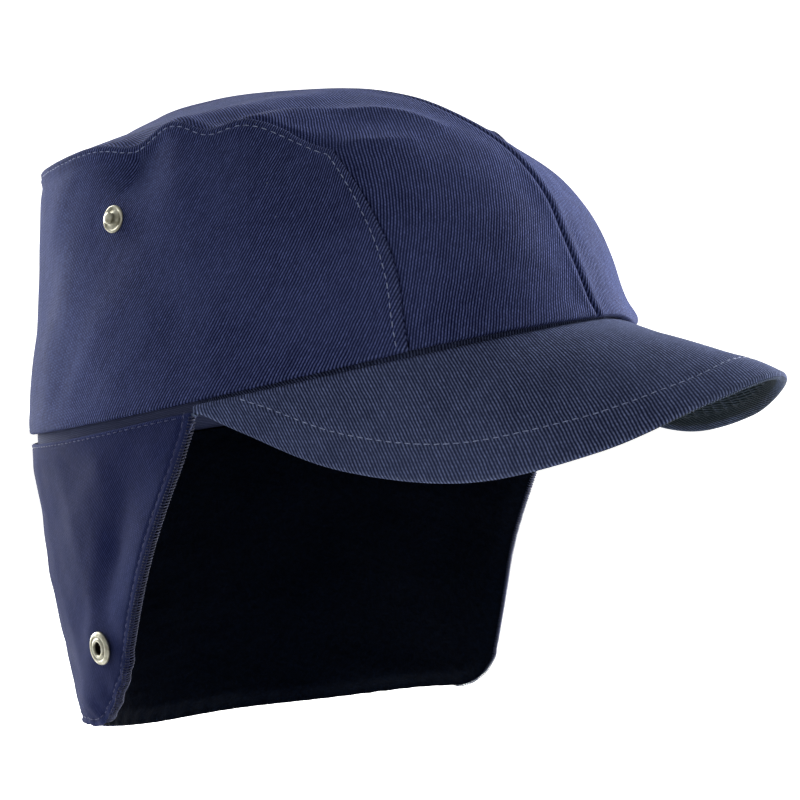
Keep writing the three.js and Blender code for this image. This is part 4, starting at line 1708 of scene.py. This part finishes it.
SOCKET_PROFILE = table(
    "radius height dirt",
    (0, -2.4, 0),
    (4.3, -2.4, 0),
    (4.7, -2.3, 0),
    (4.88, -2.05, 0),
    (4.84, -1.8, 0),
    (4.6, -1.7, 0),
    (1.6, -1.7, 0),
    (1.5, -1.6, 0),
    (1.5, 0.12, 0),
    (1.6, 0.2, 0),
    (4.7, 0.3, 0.5),
    (4.94, 0.42, 0.4),
    (5.02, 0.7, 0.1),
    (5.0, 1.0, 0),
    (4.86, 1.32, 0),
    (4.62, 1.56, 0),
    (4.3, 1.72, 0),
    (4.0, 1.76, 0),
    (3.76, 1.7, 0.05),
    (3.58, 1.56, 0.35),
    (3.4, 1.5, 0.5),
    (3.2, 1.6, 0.3),
    (3.0, 1.8, 0.05),
    (2.76, 1.96, 0),
    (2.5, 2.0, 0),
    (2.3, 1.94, 0),
    (2.1, 1.8, 0.1),
    (1.96, 1.6, 0.5),
    (1.86, 1.3, 0.9),
    (1.82, 0.9, 1),
    (1.78, 0.4, 1),
    (1.6, 0.26, 1),
    (0, 0.26, 1),
)
SNAP_SIDES = 64


def turned(radius, height, sides):
    """The points and faces of a profile turned about an upright line."""
    turn = np.linspace(0, 2 * math.pi, sides, endpoint=False)
    sideways = [np.outer(radius, np.cos(turn)), np.outer(radius, np.sin(turn))]
    points = np.stack([*sideways, np.outer(height, np.ones(sides))], axis=-1)
    index = np.arange(len(radius) * sides).reshape(-1, sides)
    after = np.roll(index, -1, axis=-1)
    faces = np.stack([index[:-1], after[:-1], after[1:], index[1:]], axis=-1).reshape(-1, 4)
    return points.reshape(-1, 3), faces.tolist()


def turned_snap(kind, hand, profile, sheet, across, up, lean=0.0):
    """A snap that stands on the cloth. It may lean backwards."""
    seat, facing = snap_seat(sheet, across, up)
    facing = unit(facing + place(-lean, 0, 0))
    points, faces = turned(profile["radius"], profile["height"], SNAP_SIDES)
    stand = np.array(Vector(facing).to_track_quat("Z", "Y").to_matrix())
    dirt = np.repeat(profile["dirt"], SNAP_SIDES)
    piece = mesh_object(f"snap_{kind}_{hand}_turned", points @ stand.T + seat, faces, wear_dirt_and_painted_light=dirt)
    merge_close(piece)
    finish_piece(piece, "snap_metal", nickel, f"snap_{kind}_{hand}")


peak_top_sheet = peak_upper()
peak_under()
flap_band()
flap_outer_sheet = flap_outer()
flap_lining()
for hand in HANDS:
    side_sheet = crown_side(hand)
    crown_front(hand)
    crown_stitches(hand, side_sheet)
    turned_snap("stud", hand, STUD_PROFILE, side_sheet, STUD_ACROSS, STUD_UP, STUD_LEAN)
    socket_across = SOCKET_ACROSS if hand == "left" else 1 - SOCKET_ACROSS
    turned_snap("socket", hand, SOCKET_PROFILE, flap_outer_sheet, socket_across, 1 - SOCKET_DOWN)
peak_stitches(peak_top_sheet)
flap_stitches(flap_outer_sheet)
thread_piece("flap_edging_loops", edging_thread, [front_edging(flap_outer_sheet, hand) for hand in HANDS])


# Stage, light and camera, in metres. Turns run from the peak's direction towards the wearer's left.
FLOOR_DROP = 0.30
FLOOR_FLAT = 1.8
FLOOR_CURVE = 1.2
FLOOR_SIDES = 96
VIEW_TURN = -50.53
VIEW_RISE = 8.47
VIEW_DISTANCE = 0.700
FOCAL_PIXELS = 2223.2
FRAME_PIXELS = 800
ORIGIN_PIXEL = (325.1, 386.1)
SENSOR_WIDTH = 36
PANEL_DISTANCE = 1.3
PANEL_WIDTH = 0.9
PANEL_HEIGHT = 1.3
PANELS = {
    "left_front_panel": {"turn": 75, "rise": 12, "power": 58},
    "right_back_panel": {"turn": -186, "rise": 12, "power": 40},
}
SURROUND_LIGHT = 0.45


def direction_at(turn, rise):
    """The direction from the cap at a turn and a rise, in degrees."""
    turn, rise = math.radians(turn), math.radians(rise)
    return Vector((math.sin(turn) * math.cos(rise), -math.cos(turn) * math.cos(rise), math.sin(rise)))


def add_camera():
    back = direction_at(VIEW_TURN, VIEW_RISE)
    right = Vector((0, 0, 1)).cross(back).normalized()
    up = back.cross(right)
    scale = VIEW_DISTANCE / FOCAL_PIXELS
    middle = FRAME_PIXELS / 2
    aim = right * (middle - ORIGIN_PIXEL[0]) * scale - up * (middle - ORIGIN_PIXEL[1]) * scale
    data = bpy.data.cameras.new("camera")
    data.sensor_width = SENSOR_WIDTH
    data.lens = FOCAL_PIXELS / FRAME_PIXELS * SENSOR_WIDTH
    data.clip_start = 0.01
    data.clip_end = 50
    camera = bpy.data.objects.new("camera", data)
    axes = Matrix((right, up, back)).transposed().to_4x4()
    camera.matrix_world = Matrix.Translation(aim + back * VIEW_DISTANCE) @ axes
    bpy.context.scene.collection.objects.link(camera)
    bpy.context.scene.camera = camera


def add_stage():
    """A pale floor that sweeps up all round, far outside the cap. It looks white, but lights softly."""
    bend = np.concatenate([[0], np.linspace(0.1, math.pi / 2, 14)])
    radius = FLOOR_FLAT + FLOOR_CURVE * np.sin(bend)
    height = FLOOR_CURVE * (1 - np.cos(bend)) - FLOOR_DROP
    points, faces = turned(radius, height, FLOOR_SIDES)
    centre = len(points)
    points = np.concatenate([points, [(0, 0, -FLOOR_DROP)]])
    faces += [(centre, turn, (turn + 1) % FLOOR_SIDES) for turn in range(FLOOR_SIDES)]
    floor = mesh_object("floor", points / MM, faces)
    material, w, shader = new_material("pale_floor")
    finish = {
        "Base Color": (0.8, 0.8, 0.8, 1),
        "Roughness": 0.9,
        "Emission Color": (1, 1, 1, 1),
        "Emission Strength": w.node("ShaderNodeLightPath").outputs["Is Camera Ray"],
    }
    w.fill(shader, finish)
    floor.data.materials.append(material)


def add_panel(name, turn, rise, power):
    """A soft panel of light that faces the cap."""
    direction = direction_at(turn, rise)
    data = bpy.data.lights.new(name, "AREA")
    data.shape = "RECTANGLE"
    data.size = PANEL_WIDTH
    data.size_y = PANEL_HEIGHT
    data.energy = power
    light = bpy.data.objects.new(name, data)
    light.location = direction * PANEL_DISTANCE
    light.rotation_euler = direction.to_track_quat("Z", "Y").to_euler()
    light.visible_camera = False
    bpy.context.scene.collection.objects.link(light)


def add_surround():
    """A white surround that looks brighter than it lights."""
    world = bpy.data.worlds.new("studio")
    world.use_nodes = True
    w = Wiring(world.node_tree)
    seen = w.node("ShaderNodeLightPath").outputs["Is Camera Ray"]
    strength = w.top_part(seen, 1 - SURROUND_LIGHT)
    w.fill(world.node_tree.nodes["Background"], {"Color": (1, 1, 1, 1), "Strength": strength})
    bpy.context.scene.world = world


add_camera()
add_stage()
add_surround()
for name, panel in PANELS.items():
    add_panel(name, **panel)
bpy.context.scene.view_settings.view_transform = "Standard"
